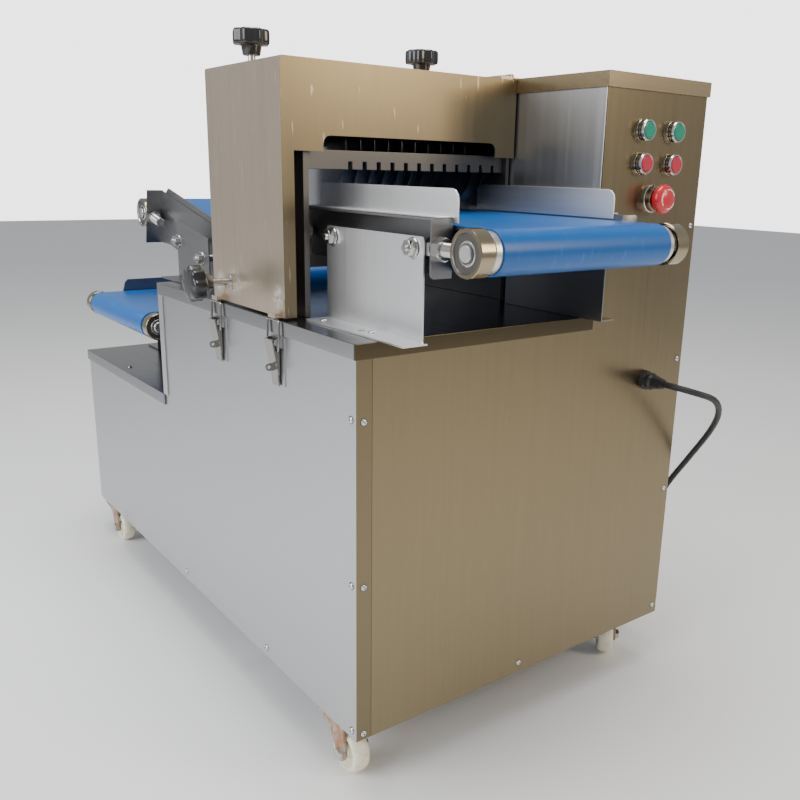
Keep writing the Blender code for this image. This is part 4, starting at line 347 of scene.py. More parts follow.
def make_finishes(colours):
    steel = tuple(colours.steel)
    # The warm tone is a painted warm reflection: the front sheets are the same steel as the sides.
    painted_warm_reflection = tuple(colours.warm_reflection_steel)
    FINISHES.update({
        # front_steel is coloured all over with the painted warm reflection; side_steel, top_steel and
        # cover_steel get it on their faces in front of the given depth.
        "side_steel": brushed("side_steel", shade(steel, 0.82), 0.34, "x", 0.10, 0.10,
                              front=(0, shade(painted_warm_reflection, 0.70))),
        "front_steel": brushed("front_steel", shade(painted_warm_reflection, 0.82), 0.30, "z", 0.16, 0.18, scratches=0.05),
        "top_steel": brushed("top_steel", shade(steel, 0.55), 0.22, "y", 0.10, 0.14,
                             front=(0, shade(painted_warm_reflection, 0.32))),
        "deck_steel": brushed("deck_steel", shade(steel, 0.42), 0.26, "y", 0.10, 0.14),
        "cap_steel": brushed("cap_steel", (0.50, 0.39, 0.24), 0.24, "x", 0.10, 0.12),
        "cover_steel": brushed("cover_steel", shade(tuple(colours.cover_steel), 0.88), 0.32, "z", 0.20,
                               0.20, 0.35,
                               front=(0.173, shade(painted_warm_reflection, 0.90)), marks=WELD_MARKS),
        "tower_steel": brushed("tower_steel", shade(steel, 0.95), 0.34, "z", 0.14, 0.12),
        "guard_steel": brushed("guard_steel", shade(steel, 1.35), 0.42, "y", 0.14, 0.16, 0.2),
        "bracket_steel": brushed("bracket_steel", shade(steel, 1.5), 0.36, "z", 0.12, 0.12, 0.2),
        "rail_steel": brushed("rail_steel", shade(steel, 0.46), 0.34, "y", 0.12, 0.18, 0.2),
        "frame_steel": brushed("frame_steel", shade(steel, 0.70), 0.40, "z", 0.10, 0.14),
        "dark_steel": brushed("dark_steel", (0.16, 0.15, 0.14), 0.42, "z", 0.16, 0.2, dirt=0.3),
        "blade_steel": machined("blade_steel", (0.55, 0.55, 0.56), 0.20, "X", 300),
        "ring_steel": machined("ring_steel", (0.37, 0.31, 0.21), 0.18, "X"),
        "turned_metal": machined("turned_metal", (0.70, 0.70, 0.68), 0.30, "X"),
        "turned_metal_y": machined("turned_metal_y", (0.72, 0.72, 0.70), 0.28, "Y"),
        "bolt_steel": machined("bolt_steel", (0.60, 0.59, 0.57), 0.20, "Z", 300),
        "chrome": machined("chrome", (0.66, 0.65, 0.63), 0.10, "Y", 200),
        "latch_steel": brushed("latch_steel", (0.30, 0.29, 0.27), 0.18, "z", 0.10, 0.12),
        "weld": rusty("weld", (0.66, 0.62, 0.56), (0.42, 0.36, 0.30), 0.5),
        "blue_belt": belting("blue_belt", tuple(colours.belt)),
        "knob_plastic": moulded("knob_plastic", (0.012, 0.012, 0.013), 0.18, coat=0.4),
        "black_rubber": moulded("black_rubber", (0.018, 0.018, 0.018), 0.48, speckle=0.08),
        "black_plastic": moulded("black_plastic", (0.020, 0.020, 0.021), 0.36),
        "seal_rubber": moulded("seal_rubber", (0.05, 0.045, 0.04), 0.5),
        "nylon": moulded("nylon", (0.96, 0.86, 0.66), 0.36, coat=0.1, speckle=0.06, grime=0.35),
        "fork_steel": rusty("fork_steel", (0.52, 0.48, 0.46), (0.36, 0.19, 0.10), 0.75),
        "pedal_steel": rusty("pedal_steel", (0.80, 0.82, 0.86), (0.40, 0.24, 0.16), 0.05),
        "pedal_red": moulded("pedal_red", (0.62, 0.05, 0.07), 0.4, grime=0.2),
        "green_cap": moulded("green_cap", (0.000, 0.26, 0.155), 0.28, coat=0.3),
        "red_cap": moulded("red_cap", (0.55, 0.02, 0.05), 0.28, coat=0.3),
        "stop_red": moulded("stop_red", (0.62, 0.015, 0.03), 0.26, coat=0.35),
        "mark_white": moulded("mark_white", (0.85, 0.80, 0.78), 0.4),
        "motor_paint": moulded("motor_paint", (0.10, 0.13, 0.17), 0.42, grime=0.3),
    })


NODE_FINISHES = {
    "base_frame": "frame_steel", "front_panel": "front_steel", "left_panel": "side_steel",
    "right_panel": "side_steel", "rear_panel": "front_steel", "step_panel": "tower_steel",
    "table_top": "top_steel", "deck_top": "deck_steel", "tower_side_panel": "tower_steel",
    "tower_cap": "cap_steel", "cover": "cover_steel", "head_frame": "dark_steel",
    "blade_gang": "blade_steel", "upper_comb": "dark_steel", "drive_motor": "motor_paint",
    "motor_pulley": "turned_metal", "drive_belt": "black_rubber", "infeed_frame": "rail_steel",
    "infeed_left_bracket": "bracket_steel", "infeed_left_guard": "guard_steel",
    "infeed_right_guard": "guard_steel", "infeed_belt": "blue_belt", "outfeed_belt": "blue_belt",
    "cross_belt": "blue_belt", "outfeed_frame": "rail_steel", "cross_frame": "rail_steel",
    "infeed_front_drum": "turned_metal", "infeed_rear_drum": "turned_metal",
    "outfeed_front_drum": "turned_metal", "outfeed_rear_drum": "turned_metal",
    "cross_end_drum": "turned_metal_y", "cross_start_drum": "turned_metal_y",
    "infeed_left_take_up": "ring_steel", "infeed_right_take_up": "ring_steel",
    "side_knob": "knob_plastic", "top_left_knob": "knob_plastic", "top_right_knob": "knob_plastic",
    "stop_button": "stop_red", "cable_gland": "black_plastic", "power_cord": "black_rubber",
    "cord_coil": "black_rubber", "power_plug": "black_plastic",
}


def node_finish(name):
    if name in NODE_FINISHES:
        return NODE_FINISHES[name]
    for ending, finish in (("_fork", "fork_steel"), ("_wheel", "nylon"), ("_pedal", "pedal_steel"),
                           ("_latch_lever", "latch_steel"), ("_latch_bail", "latch_steel")):
        if name.endswith(ending):
            return finish
    return "green_cap" if name.startswith("green") else "red_cap"


# Modelling by operators

def deselect():
    if bpy.context.mode != "OBJECT":
        bpy.ops.object.mode_set(mode="OBJECT")
    bpy.ops.object.select_all(action="DESELECT")


def pick(*objects):
    deselect()
    for obj in objects:
        obj.select_set(True)
    bpy.context.view_layer.objects.active = objects[0]


def settle(obj):
    """Put a piece's place into its mesh."""
    pick(obj)
    bpy.ops.object.transform_apply(location=True, rotation=True, scale=True)
    return obj


def edit(obj, select=None):
    """Enter edit mode with everything or nothing selected."""
    pick(obj)
    bpy.ops.object.mode_set(mode="EDIT")
    bpy.ops.mesh.select_mode(type="VERT")
    bpy.ops.mesh.select_all(action=select or "SELECT")


def leave():
    bpy.ops.object.mode_set(mode="OBJECT")


def choose_faces(obj, test):
    """Select the faces that pass a test of their normal and middle, in edit mode."""
    bpy.ops.mesh.select_mode(type="FACE")
    work = bmesh.from_edit_mesh(obj.data)
    for face in work.faces:
        face.select_set(test(face.normal, face.calc_center_median()))
    work.select_flush_mode()
    bmesh.update_edit_mesh(obj.data)


def block(low, high):
    deselect()
    middle = (Vector(low) + Vector(high)) / 2
    size = [b - a for a, b in zip(low, high)]
    bpy.ops.mesh.primitive_cube_add(size=1, location=at(*middle), scale=size)
    return settle(bpy.context.object)


def bar(start, end, radius, sides=32, tip=None):
    """Round bar or cone between two points measured from the cabinet's corner."""
    deselect()
    along = Vector(end) - Vector(start)
    turn = Vector((0, 0, 1)).rotation_difference(along).to_euler()
    middle = at(*((Vector(start) + Vector(end)) / 2))
    bpy.ops.mesh.primitive_cone_add(vertices=sides, radius1=radius, radius2=radius if tip is None else tip,
                                    depth=along.length, location=middle, rotation=turn)
    return settle(bpy.context.object)


def chain(points):
    """Draw a line of vertices by extruding the first one from point to point."""
    deselect()
    bpy.ops.mesh.primitive_plane_add(size=0.001, location=points[0])
    obj = bpy.context.object
    settle(obj)
    edit(obj)
    bpy.ops.mesh.merge(type="CENTER")
    for before, after in zip(points, points[1:]):
        step = Vector(after) - Vector(before)
        bpy.ops.mesh.extrude_region_move(TRANSFORM_OT_translate={"value": step})
    return obj


def tidy(obj):
    """Close seams and turn every face outwards, in edit mode."""
    bpy.ops.mesh.select_all(action="SELECT")
    bpy.ops.mesh.remove_doubles(threshold=0.000005)
    bpy.ops.mesh.normals_make_consistent(inside=False)
    leave()
    return obj


AXES = {"XY": (0, 1, 2), "XZ": (0, 2, 1), "YZ": (1, 2, 0)}


def lay(plane, across, up, depth):
    """Point of the cabinet's frame from an outline's coordinates and its depth."""
    values = [0, 0, 0]
    for axis, value in zip(AXES[plane], (across, up, depth)):
        values[axis] = value
    return at(*values)


def panel(outline, plane, low, high):
    """Flat sheet drawn as an outline, filled and given its thickness."""
    obj = chain([lay(plane, a, b, low) for a, b in outline])
    bpy.ops.mesh.select_all(action="SELECT")
    bpy.ops.mesh.edge_face_add()
    step = lay(plane, 0, 0, high) - lay(plane, 0, 0, low)
    bpy.ops.mesh.extrude_region_move(TRANSFORM_OT_translate={"value": step})
    return tidy(obj)


TURN_AXES = {"X": Vector((1, 0, 0)), "Y": Vector((0, 1, 0)), "Z": Vector((0, 0, 1))}


def turned(profile, axis, centre, steps=48, closed=False):
    """Spin a profile of (radius, distance along the axis) pairs about an axis through a centre."""
    middle = at(*centre)
    side = Vector((0, 0, 1)) if axis != "Z" else Vector((1, 0, 0))
    points = [middle + side * radius + TURN_AXES[axis] * along for radius, along in profile]
    if closed:
        points.append(points[0])
    obj = chain(points)
    bpy.ops.mesh.select_all(action="SELECT")
    bpy.ops.mesh.spin(steps=steps, angle=2 * math.pi, center=middle, axis=TURN_AXES[axis])
    return tidy(obj)


def ribbon(points, plane, low, high, thickness):
    """Closed band: a loop drawn in a plane, extruded across, with its thickness inwards."""
    obj = chain([lay(plane, a, b, low) for a, b in points])
    bpy.ops.mesh.select_all(action="SELECT")
    bpy.ops.mesh.edge_face_add()
    bpy.ops.mesh.delete(type="ONLY_FACE")
    bpy.ops.mesh.select_all(action="SELECT")
    step = lay(plane, 0, 0, high) - lay(plane, 0, 0, low)
    bpy.ops.mesh.extrude_region_move(TRANSFORM_OT_translate={"value": step})
    tidy(obj)
    modify(obj, "SOLIDIFY", thickness=thickness, offset=-1, use_even_offset=True)
    return obj


def modify(obj, kind, **settings):
    """Add one modifier and apply it."""
    pick(obj)
    modifier = obj.modifiers.new("step", kind)
    for key, value in settings.items():
        setattr(modifier, key, value)
    bpy.ops.object.modifier_apply(modifier=modifier.name)
    return obj


def rounded(obj, width, segments=2, angle=35):
    """Round a piece's sharp edges."""
    modify(obj, "BEVEL", width=width, segments=segments, limit_method="ANGLE",
           angle_limit=math.radians(angle), harden_normals=False, use_clamp_overlap=True)
    smooth(obj)
    return modify(obj, "WEIGHTED_NORMAL", mode="FACE_AREA_WITH_ANGLE", weight=50, thresh=0.01,
                  keep_sharp=True)


def smooth(obj, angle=35):
    pick(obj)
    bpy.ops.object.shade_smooth_by_angle(angle=math.radians(angle), keep_sharp_edges=False)
    return obj


def remove(*objects):
    pick(*objects)
    bpy.ops.object.delete()


def cut(obj, *tools):
    for tool in tools:
        modify(obj, "BOOLEAN", operation="DIFFERENCE", object=tool, solver="EXACT")
    remove(*tools)
    return obj


def join(*objects):
    pick(*objects)
    bpy.ops.object.join()
    return bpy.context.object


def copied(obj, matrix=None):
    """Copy with its own mesh, moved by a matrix of the row frame."""
    pick(obj)
    bpy.ops.object.duplicate(linked=False)
    twin = bpy.context.object
    if matrix is not None:
        twin.matrix_world = matrix @ twin.matrix_world
        settle(twin)
    return twin


def dress(obj, name, finish, body, replaces=()):
    """Name a finished piece, give it its finish and let it ride on its body."""
    settle(obj)
    obj.name = name
    obj.data.name = name
    obj.data.materials.clear()
    obj.data.materials.append(FINISHES[finish])
    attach(obj, body)
    if replaces:
        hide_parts(*replaces)
    return obj


def softened(node, name, finish, body, width=0.0006, segments=2):
    """Copy of a sheet-metal solid with its folded edges rounded."""
    pick(frame["nodes"][node])
    bpy.ops.object.duplicate(linked=False)
    obj = bpy.context.object
    obj.parent = None
    for key in list(obj.keys()):
        if key.startswith("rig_"):
            del obj[key]
    edit(obj)
    bpy.ops.mesh.customdata_custom_splitnormals_clear()
    bpy.ops.mesh.remove_doubles(threshold=0.000005)
    bpy.ops.mesh.dissolve_limited(angle_limit=math.radians(0.5))
    leave()
    rounded(obj, width, segments, 30)
    return dress(obj, name, finish, body, (node,))


def arc(centre, radius, start, end, steps):
    points = []
    for i in range(steps + 1):
        angle = math.radians(start + (end - start) * i / steps)
        points.append((centre[0] + radius * math.cos(angle), centre[1] + radius * math.sin(angle)))
    return points


def loop(first, second, radius, steps=24):
    heading = math.degrees(math.atan2(second[1] - first[1], second[0] - first[0]))
    return (arc(first, radius, heading + 90, heading + 270, steps)
            + arc(second, radius, heading - 90, heading + 90, steps))


# Settings that a user would change

class ColourSettings(bpy.types.PropertyGroup):
    """Colours of the main finishes."""
    steel: FloatVectorProperty(name="Steel", description="Side and top sheets", subtype="COLOR",
                               default=(0.60, 0.60, 0.61), min=0, max=1)
    # Painted warm reflection of the front sheets, not a colour of their own steel.
    warm_reflection_steel: FloatVectorProperty(name="Warm steel", description="Front sheets", subtype="COLOR",
                                    default=(0.29, 0.235, 0.145), min=0, max=1)
    cover_steel: FloatVectorProperty(name="Cover steel", description="Cover over the blades", subtype="COLOR",
                                     default=(0.72, 0.60, 0.46), min=0, max=1)
    belt: FloatVectorProperty(name="Belt", description="Conveyor belting", subtype="COLOR",
                              default=(0.000, 0.100, 0.36), min=0, max=1)


class SheetSettings(bpy.types.PropertyGroup):
    """Folded sheet metal."""
    edge: FloatProperty(name="Edge radius", description="Rounding of the folded edges", unit="LENGTH",
                        default=0.0008, min=0.0001, max=0.003)
    belt: FloatProperty(name="Belt thickness", description="Thickness of the conveyor belts", unit="LENGTH",
                        default=0.002, min=0.001, max=0.004)


class FastenerSettings(bpy.types.PropertyGroup):
    """Screws, nuts and knobs."""
    screw: FloatProperty(name="Screw head radius", description="Button-head panel screws", unit="LENGTH",
                         default=0.0042, min=0.002, max=0.008)
    lobes: IntProperty(name="Knob lobes", description="Lobes round each star knob", default=8, min=5, max=12)
    spin: IntProperty(name="Round steps", description="Faces round each turned piece", default=48, min=24,
                      max=96)


class CordSettings(bpy.types.PropertyGroup):
    """The mains cord."""
    diameter: FloatProperty(name="Diameter", description="Cord diameter", unit="LENGTH",
                            default=0.0095, min=0.004, max=0.015)


class SLICER_OT_finishes(bpy.types.Operator):
    """Make every finish and give the carried-over solids theirs"""
    bl_idname = "slicer.finishes"
    bl_label = "Make finishes"

    def execute(self, context):
        make_finishes(context.scene.slicer_colours)
        for name, obj in frame["nodes"].items():
            obj.data.materials.clear()
            obj.data.materials.append(FINISHES[node_finish(name)])
        return {"FINISHED"}


class SLICER_OT_cord(bpy.types.Operator):
    """Lay the mains cord from its gland to the coil and plug on the floor"""
    bl_idname = "slicer.cord"
    bl_label = "Lay the cord"

    def execute(self, context):
        diameter = context.scene.slicer_cord.diameter
        points = smooth_route(CORD_ROUTE, 0.012)[:-2] + coil_points(diameter)
        deselect()
        curve = bpy.data.curves.new("mains_cord", "CURVE")
        curve.dimensions = "3D"
        curve.bevel_depth = diameter / 2
        curve.bevel_resolution = 4
        curve.use_fill_caps = True
        spline = curve.splines.new("POLY")
        spline.points.add(len(points) - 1)
        for point, place in zip(spline.points, points):
            point.co = (*at(*place), 1)
        spline.use_smooth = True
        obj = bpy.data.objects.new("mains_cord", curve)
        bpy.context.scene.collection.objects.link(obj)
        obj.data.materials.append(FINISHES["black_rubber"])
        length = sum((b - a).length for a, b in zip(points, points[1:]))
        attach(obj, "machine")
        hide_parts("power_cord", "cord_coil")
        plug = make_plug()
        return {"FINISHED"}


def smooth_route(points, spacing):
    """Evenly spaced points on a smooth curve through the route's own points."""
    points = [Vector(point) for point in points]
    padded = [2 * points[0] - points[1], *points, 2 * points[-1] - points[-2]]
    fine = []
    for a, b, c, d in zip(padded, padded[1:], padded[2:], padded[3:]):
        for i in range(20):
            t = i / 20
            fine.append(0.5 * (2 * b + (c - a) * t + (2 * a - 5 * b + 4 * c - d) * t * t
                               + (3 * b - a - 3 * c + d) * t * t * t))
    fine.append(points[-1])
    lengths = [0]
    for first, second in zip(fine, fine[1:]):
        lengths.append(lengths[-1] + (second - first).length)
    count = round(lengths[-1] / spacing)
    even = []
    index = 0
    for i in range(count + 1):
        goal = lengths[-1] * i / count
        while index < len(fine) - 2 and lengths[index + 1] < goal:
            index += 1
        share = (goal - lengths[index]) / (lengths[index + 1] - lengths[index])
        even.append(fine[index].lerp(fine[index + 1], share))
    return even


def ease(t):
    t = min(max(t, 0.0), 1.0)
    return t * t * (3 - 2 * t)


def coil_points(diameter):
    """Three and a quarter turns, wound beside and on each other, then the way to the plug."""
    mean = 0.0518
    pitch = diameter + 0.0003
    outer = mean + pitch / 2
    inner = mean - pitch / 2
    low = diameter / 2 + 0.0012
    entry = COIL_CENTRE[0] - CORD_ROUTE[-1][0]
    points = []
    for i in range(0, 3 * 36 + 10):
        turn = i * 10
        radius = entry + (outer - entry) * ease(turn / 90)
        radius += (inner - outer) * ease((turn - 360) / 90)
        radius += (outer - inner) * ease((turn - 900) / 90)
        height = low + pitch * ease((turn - 620) / 90)
        angle = math.radians(180 - turn)
        points.append(Vector((COIL_CENTRE[0] + radius * math.cos(angle),
                              COIL_CENTRE[1] + radius * math.sin(angle), height)))
    end = points[-1]
    for i in range(1, 5):
        points.append(Vector((end.x + 0.0105 * i, end.y + 0.0002 * i, end.z - 0.0004 * i)))
    return points


def make_plug():
    low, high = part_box("power_plug")
    deselect()
    bpy.ops.mesh.primitive_cube_add(size=1, location=(low + high) / 2, scale=high - low)
    body = settle(bpy.context.object)
    rounded(body, 0.005, 4)
    return dress(body, "mains_plug", "black_plastic", "machine", ("power_plug",))


SHEETS = ("base_frame", "front_panel", "left_panel", "right_panel", "rear_panel", "step_panel", "table_top",
          "deck_top", "tower_side_panel", "tower_cap", "cover", "head_frame", "upper_comb", "infeed_frame",
          "infeed_left_bracket", "infeed_left_guard", "infeed_right_guard", "outfeed_frame", "cross_frame",
          "front_latch_lever", "rear_latch_lever")
WIRES = ("front_latch_bail", "rear_latch_bail")
RECESS = 0.0035
WIRE_EDGE = 0.00005


class SLICER_OT_sheets(bpy.types.Operator):
    """Round the folded edges of the cabinet's sheets, the cover and the conveyor frames"""
    bl_idname = "slicer.sheets"
    bl_label = "Fold the sheets"

    def execute(self, context):
        width = context.scene.slicer_sheet.edge
        for name in SHEETS:
            softened(name, name + "_sheet", node_finish(name), BODY_OF[name], width)
        for name in WIRES:
            softened(name, name + "_wire", node_finish(name), BODY_OF[name], WIRE_EDGE, 1)
        return {"FINISHED"}


BODY_OF = {node: body for body, nodes in frame["record"]["behaviour"]["bodies"].items() for node in nodes}


def moved(obj, place, turn=Matrix.Identity(4)):
    """Copy of a piece that was modelled at the cabinet's corner, turned and put in its place."""
    return copied(obj, Matrix.Translation(at(*place)) @ turn @ Matrix.Translation(-CORNER))


def placed(obj, place, turn):
    """The piece itself, turned and put in its place."""
    twin = moved(obj, place, turn)
    remove(obj)
    return twin


def facing(axis):
    """Turn that brings +Z to an axis."""
    return Vector((0, 0, 1)).rotation_difference(Vector(axis)).to_matrix().to_4x4()


def hexagon(low, high, radius, bore=0.0):
    """Hexagon nut or bolt head along +Z with chamfered corners."""
    body = bar((0, 0, low), (0, 0, high), radius, 6)
    height = high - low
    corner = radius * 0.13
    lens = turned([(0, low - 0.001), (radius * 0.86, low - 0.00001), (radius + corner, low + corner * 1.2),
                   (radius + corner, high - corner * 1.2), (radius * 0.86, high + 0.00001),
                   (0, high + 0.001)],
                  "Z", (0, 0, 0), 48)
    modify(body, "BOOLEAN", operation="INTERSECT", object=lens, solver="EXACT")
    remove(lens)
    if bore:
        body = cut(body, bar((0, 0, low - height), (0, 0, high + height), bore, 32))
    return smooth(body, 25)


def threaded(start, end, radius, pitch=0.002):
    """Bolt along +Z with a cut thread, drawn as rings."""
    depth = pitch * 0.42
    count = int((end - start) / pitch)
    profile = [(0, start), (radius - depth, start)]
    for i in range(count):
        profile += [(radius, start + pitch * (i + 0.35)), (radius, start + pitch * (i + 0.5)),
                    (radius - depth, start + pitch * (i + 0.85))]
    profile += [(radius - depth, end), (0, end)]
    return smooth(turned(profile, "Z", (0, 0, 0), 32), 60)


def rings():
    """Each bearing ring: its name, axis, centre, span, outward side, carrying node and drum."""
    rows = [("infeed_front_left", "X", (0, *INFEED_FRONT), LEFT_RING_X, -1, "infeed_left_take_up",
             "infeed_front_drum"),
            ("infeed_front_right", "X", (0, *INFEED_FRONT), RIGHT_RING_X, 1, "infeed_right_take_up",
             "infeed_front_drum"),
            ("infeed_rear_left", "X", (0, *INFEED_REAR), LEFT_RING_X, -1, "infeed_frame", "infeed_rear_drum"),
            ("outfeed_rear_left", "X", (0, *OUTFEED_REAR), LEFT_RING_X, -1, "outfeed_frame",
             "outfeed_rear_drum"),
            ("outfeed_rear_right", "X", (0, *OUTFEED_REAR), RIGHT_RING_X, 1, "outfeed_frame",
             "outfeed_rear_drum")]
    for end, x in zip(("end", "start"), CROSS_X):
        centre = (x, 0, CROSS_Z)
        rows.append(("cross_" + end + "_near", "Y", centre, CROSS_NEAR_Y, -1, "cross_frame",
                     "cross_" + end + "_drum"))
        rows.append(("cross_" + end + "_far", "Y", centre, CROSS_FAR_Y, 1, "cross_frame",
                     "cross_" + end + "_drum"))
    return rows


def bearing(name, axis, centre, span, outward, node, drum):
    """Bearing ring with a recessed seal, inner ring and circlip, and the drum's shaft end."""
    radius = (HOUSING if axis == "X" else CROSS_HOUSING) + 0.00015
    low, high = span[0] - 0.00015, span[1] + 0.00015
    rim = 0.0009
    lip = radius - 0.0045
    face = low if outward < 0 else high
    inward = -outward
    back = high if outward < 0 else low
    body = BODY_OF[node]

    def lathe(profile, ending, finish, rides, closed=True):
        shape = turned([(r, face + inward * depth) for r, depth in profile], axis, centre, 64, closed)
        dress(smooth(shape, 35), name + ending, finish, rides)

    width = abs(back - face)
    lathe([(lip, 0), (radius - rim, 0), (radius, rim), (radius, width - rim), (radius - rim, width),
           (lip, width)],
          "_ring", "ring_steel", body)
    lathe([(lip - 0.0005, 0.0012), (lip, 0), (lip, 0.0045), (lip - 0.0005, 0.0045)], "_lip", "chrome", body)
    lathe([(0.0135, RECESS - 0.0008), (lip, RECESS - 0.0008), (lip, RECESS + 0.001),
           (0.0135, RECESS + 0.001)],
          "_seal", "seal_rubber", body)
    lathe([(0.0094, 0.0016), (0.0130, 0.0016), (0.0136, 0.0022), (0.0136, 0.0045), (0.0094, 0.0045)],
          "_race", "turned_metal", body)
    lathe([(0.0091, 0.0002), (0.0112, 0.0002), (0.0112, 0.0014), (0.0091, 0.0014)], "_circlip",
          "dark_steel", drum)
    lathe([(0, 0.0030), (0.0022, 0.0004), (0.0032, -0.0013), (0.0082, -0.0013), (0.0092, -0.0003),
           (0.0092, 0.0100),
           (0, 0.0100)], "_shaft", "turned_metal", drum, False)


class SLICER_OT_bearings(bpy.types.Operator):
    """Bearing rings of the three conveyors, with seals and shaft ends"""
    bl_idname = "slicer.bearings"
    bl_label = "Add the bearings"

    def execute(self, context):
        for row in rings():
            sink(*row)
            bearing(*row)
        return {"FINISHED"}


def sink(name, axis, centre, span, outward, node, drum):
    """Cut the ring's recess into the frame's own sheet, where the frame carries the ring."""
    sheet = bpy.data.objects.get(node + "_sheet")
    if sheet is None:
        return
    face = span[0] if outward < 0 else span[1]
    radius = (HOUSING if axis == "X" else CROSS_HOUSING) - 0.0044
    place = Vector(centre)
    direction = TURN_AXES[axis] * outward
    start = place + TURN_AXES[axis] * face - direction * RECESS
    cut(sheet, bar(start, start + direction * 0.010, radius, 64))


class SLICER_OT_tensioners(bpy.types.Operator):
    """Threaded belt tensioners with their nuts"""
    bl_idname = "slicer.tensioners"
    bl_label = "Add the tensioners"

    def execute(self, context):
        nut = hexagon(0, 0.012, 0.0138, 0.0076)
        back = facing((0, 1, 0))
        for side, x in (("left", 0.076), ("right", 0.398)):
            bolt = placed(threaded(0, 0.0520, 0.008), (x, -0.0835, INFEED_FRONT[1]), back)
            nuts = [moved(nut, (x, y, INFEED_FRONT[1]), back) for y in (-0.0623, -0.0477)]
            node = "infeed_" + side + "_take_up"
            dress(smooth(join(bolt, *nuts), 25), node + "_bolt", "bolt_steel", BODY_OF[node],
                  (node,))
        rail = [placed(threaded(0, 0.0560, 0.0081), (0.076, 0.2390, INFEED_FRONT[1]), back)]
        rail += [moved(nut, (0.076, y, INFEED_FRONT[1]), back) for y in (0.2478, 0.2622)]
        dress(smooth(join(*rail), 25), "infeed_stud", "bolt_steel", "machine")
        slope = Matrix.Rotation(OUTFEED_SLOPE, 4, "X") @ back
        bolts = []
        for x in (0.076, 0.398):
            bolts.append(placed(threaded(0, 0.0440, 0.0081), (x, *incline(-0.0705, 0)), slope))
            bolts.append(moved(nut, (x, *incline(-0.0396, 0)), slope))
        dress(smooth(join(*bolts), 25), "outfeed_bolts", "bolt_steel", "machine")
        side = facing((-1, 0, 0))
        small = hexagon(0.0018, 0.0086, 0.0094, 0.0042)
        washer = turned([(0.0044, 0), (0.0112, 0), (0.0116, 0.0005), (0.0112, 0.0017), (0.0044, 0.0017)], "Z",
                        (0, 0, 0), 40, True)
        stud = threaded(0, 0.0125, 0.0042, 0.0009)
        places = [(BRACKET_X, y, 0.720) for y in (-0.022, 0.150)]
        places += [(0.0590, *incline(along, OUTFEED_BOLT_DROP)) for along in (-0.300, -0.200)]
        clamps = [moved(piece, place, side) for place in places for piece in (small, washer, stud)]
        dress(smooth(join(*clamps), 30), "bracket_bolts", "bolt_steel", "machine")
        remove(nut, small, washer, stud)
        return {"FINISHED"}


class SLICER_OT_belts(bpy.types.Operator):
    """The three blue belts, with rounded edges"""
    bl_idname = "slicer.belts"
    bl_label = "Make the belts"

    def execute(self, context):
        thick = context.scene.slicer_sheet.belt
        radius = 0.0235 + 0.0003 + thick
        front = incline(-OUTFEED_LENGTH, 0)
        runs = (("infeed_belt", loop(INFEED_FRONT, INFEED_REAR, radius), "YZ", BELT_X),
                ("outfeed_belt", loop(front, OUTFEED_REAR, radius), "YZ", BELT_X),
                ("cross_belt", loop((CROSS_X[0], CROSS_Z), (CROSS_X[1], CROSS_Z), radius - 0.003), "XZ",
                 CROSS_Y))
        for name, outline, plane, (low, high) in runs:
            belt = ribbon(outline, plane, low, high, thick)
            rounded(belt, 0.0005, 2, 50)
            dress(belt, name + "_band", "blue_belt", "machine", (name,))
        return {"FINISHED"}


class SLICER_OT_drums(bpy.types.Operator):
    """Belt drums with turned ends"""
    bl_idname = "slicer.drums"
    bl_label = "Turn the drums"

    def execute(self, context):
        rows = (("infeed_front_drum", "X", (0, *INFEED_FRONT), (0.0885, 0.3835)),
                ("infeed_rear_drum", "X", (0, *INFEED_REAR), (0.0885, 0.3780)),
                ("outfeed_front_drum", "X", (0, *incline(-OUTFEED_LENGTH, 0)), (0.0973, 0.3747)),
                ("outfeed_rear_drum", "X", (0, *OUTFEED_REAR), (0.0885, 0.3835)),
                ("cross_end_drum", "Y", (CROSS_X[0], 0, CROSS_Z), (0.6750, 0.9695)),
                ("cross_start_drum", "Y", (CROSS_X[1], 0, CROSS_Z), (0.6750, 0.9695)))
        for name, axis, centre, (low, high) in rows:
            box_low, box_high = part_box(name)
            across = "XYZ".index(axis)
            start = box_low[across] - CORNER[across]
            end = box_high[across] - CORNER[across]
            radius = 0.0235 if axis == "X" else 0.0205
            rim = 0.0012
            profile = [(0, start), (0.0085, start), (0.0089, start + 0.0004), (0.0089, low),
                       (radius - rim, low),
                       (radius, low + rim), (radius, high - rim), (radius - rim, high), (0.0089, high)]
            if name == "infeed_rear_drum":
                profile += [(0.0089, 0.428), (0.0235, 0.428), (0.0250, 0.4300), (0.0250, 0.4340),
                            (0.0235, 0.436),
                            (0.0089, 0.436)]
            profile += [(0.0089, end - 0.0004), (0.0085, end), (0, end)]
            finish = "turned_metal" if axis == "X" else "turned_metal_y"
            dress(smooth(turned(profile, axis, centre, 64), 30), name + "_body", finish, name,
                  (name,))
        return {"FINISHED"}


KNOB_SECTIONS = ((0.0, 0.30), (0.0, 0.93), (0.0006, 0.965), (0.0022, 0.99), (0.0050, 1.0), (0.0140, 1.0),
                 (0.0168, 0.985), (0.0184, 0.945), (0.0190, 0.88), (0.0195, 0.60), (0.0197, 0.25))


def star_knob(lobes, radius, hub):
    """Star knob along +Z from the origin, with a domed head and a tapered hub below it."""
    count = lobes * 12
    deselect()
    bpy.ops.mesh.primitive_cylinder_add(vertices=count, radius=radius, depth=KNOB_SECTIONS[-1][0],
                                        end_fill_type="NGON", location=at(0, 0, 0))
    head = settle(bpy.context.object)
    edit(head, "DESELECT")
    choose_faces(head, lambda normal, middle: normal.z > 0.9)
    for i in range(len(KNOB_SECTIONS) - 2):
        bpy.ops.mesh.extrude_region_move(TRANSFORM_OT_translate={"value": (0, 0, 0.001)})
    leave()
    shape_sections(head, count, lobes, radius)
    collar = turned([(0, -hub), (0.0108, -hub), (0.0116, -hub + 0.0010), (0.0135, -0.0015), (0.0175, 0.0016),
                     (0, 0.0016)], "Z", (0, 0, 0), 48)
    return join(smooth(head, 50), smooth(collar, 30))


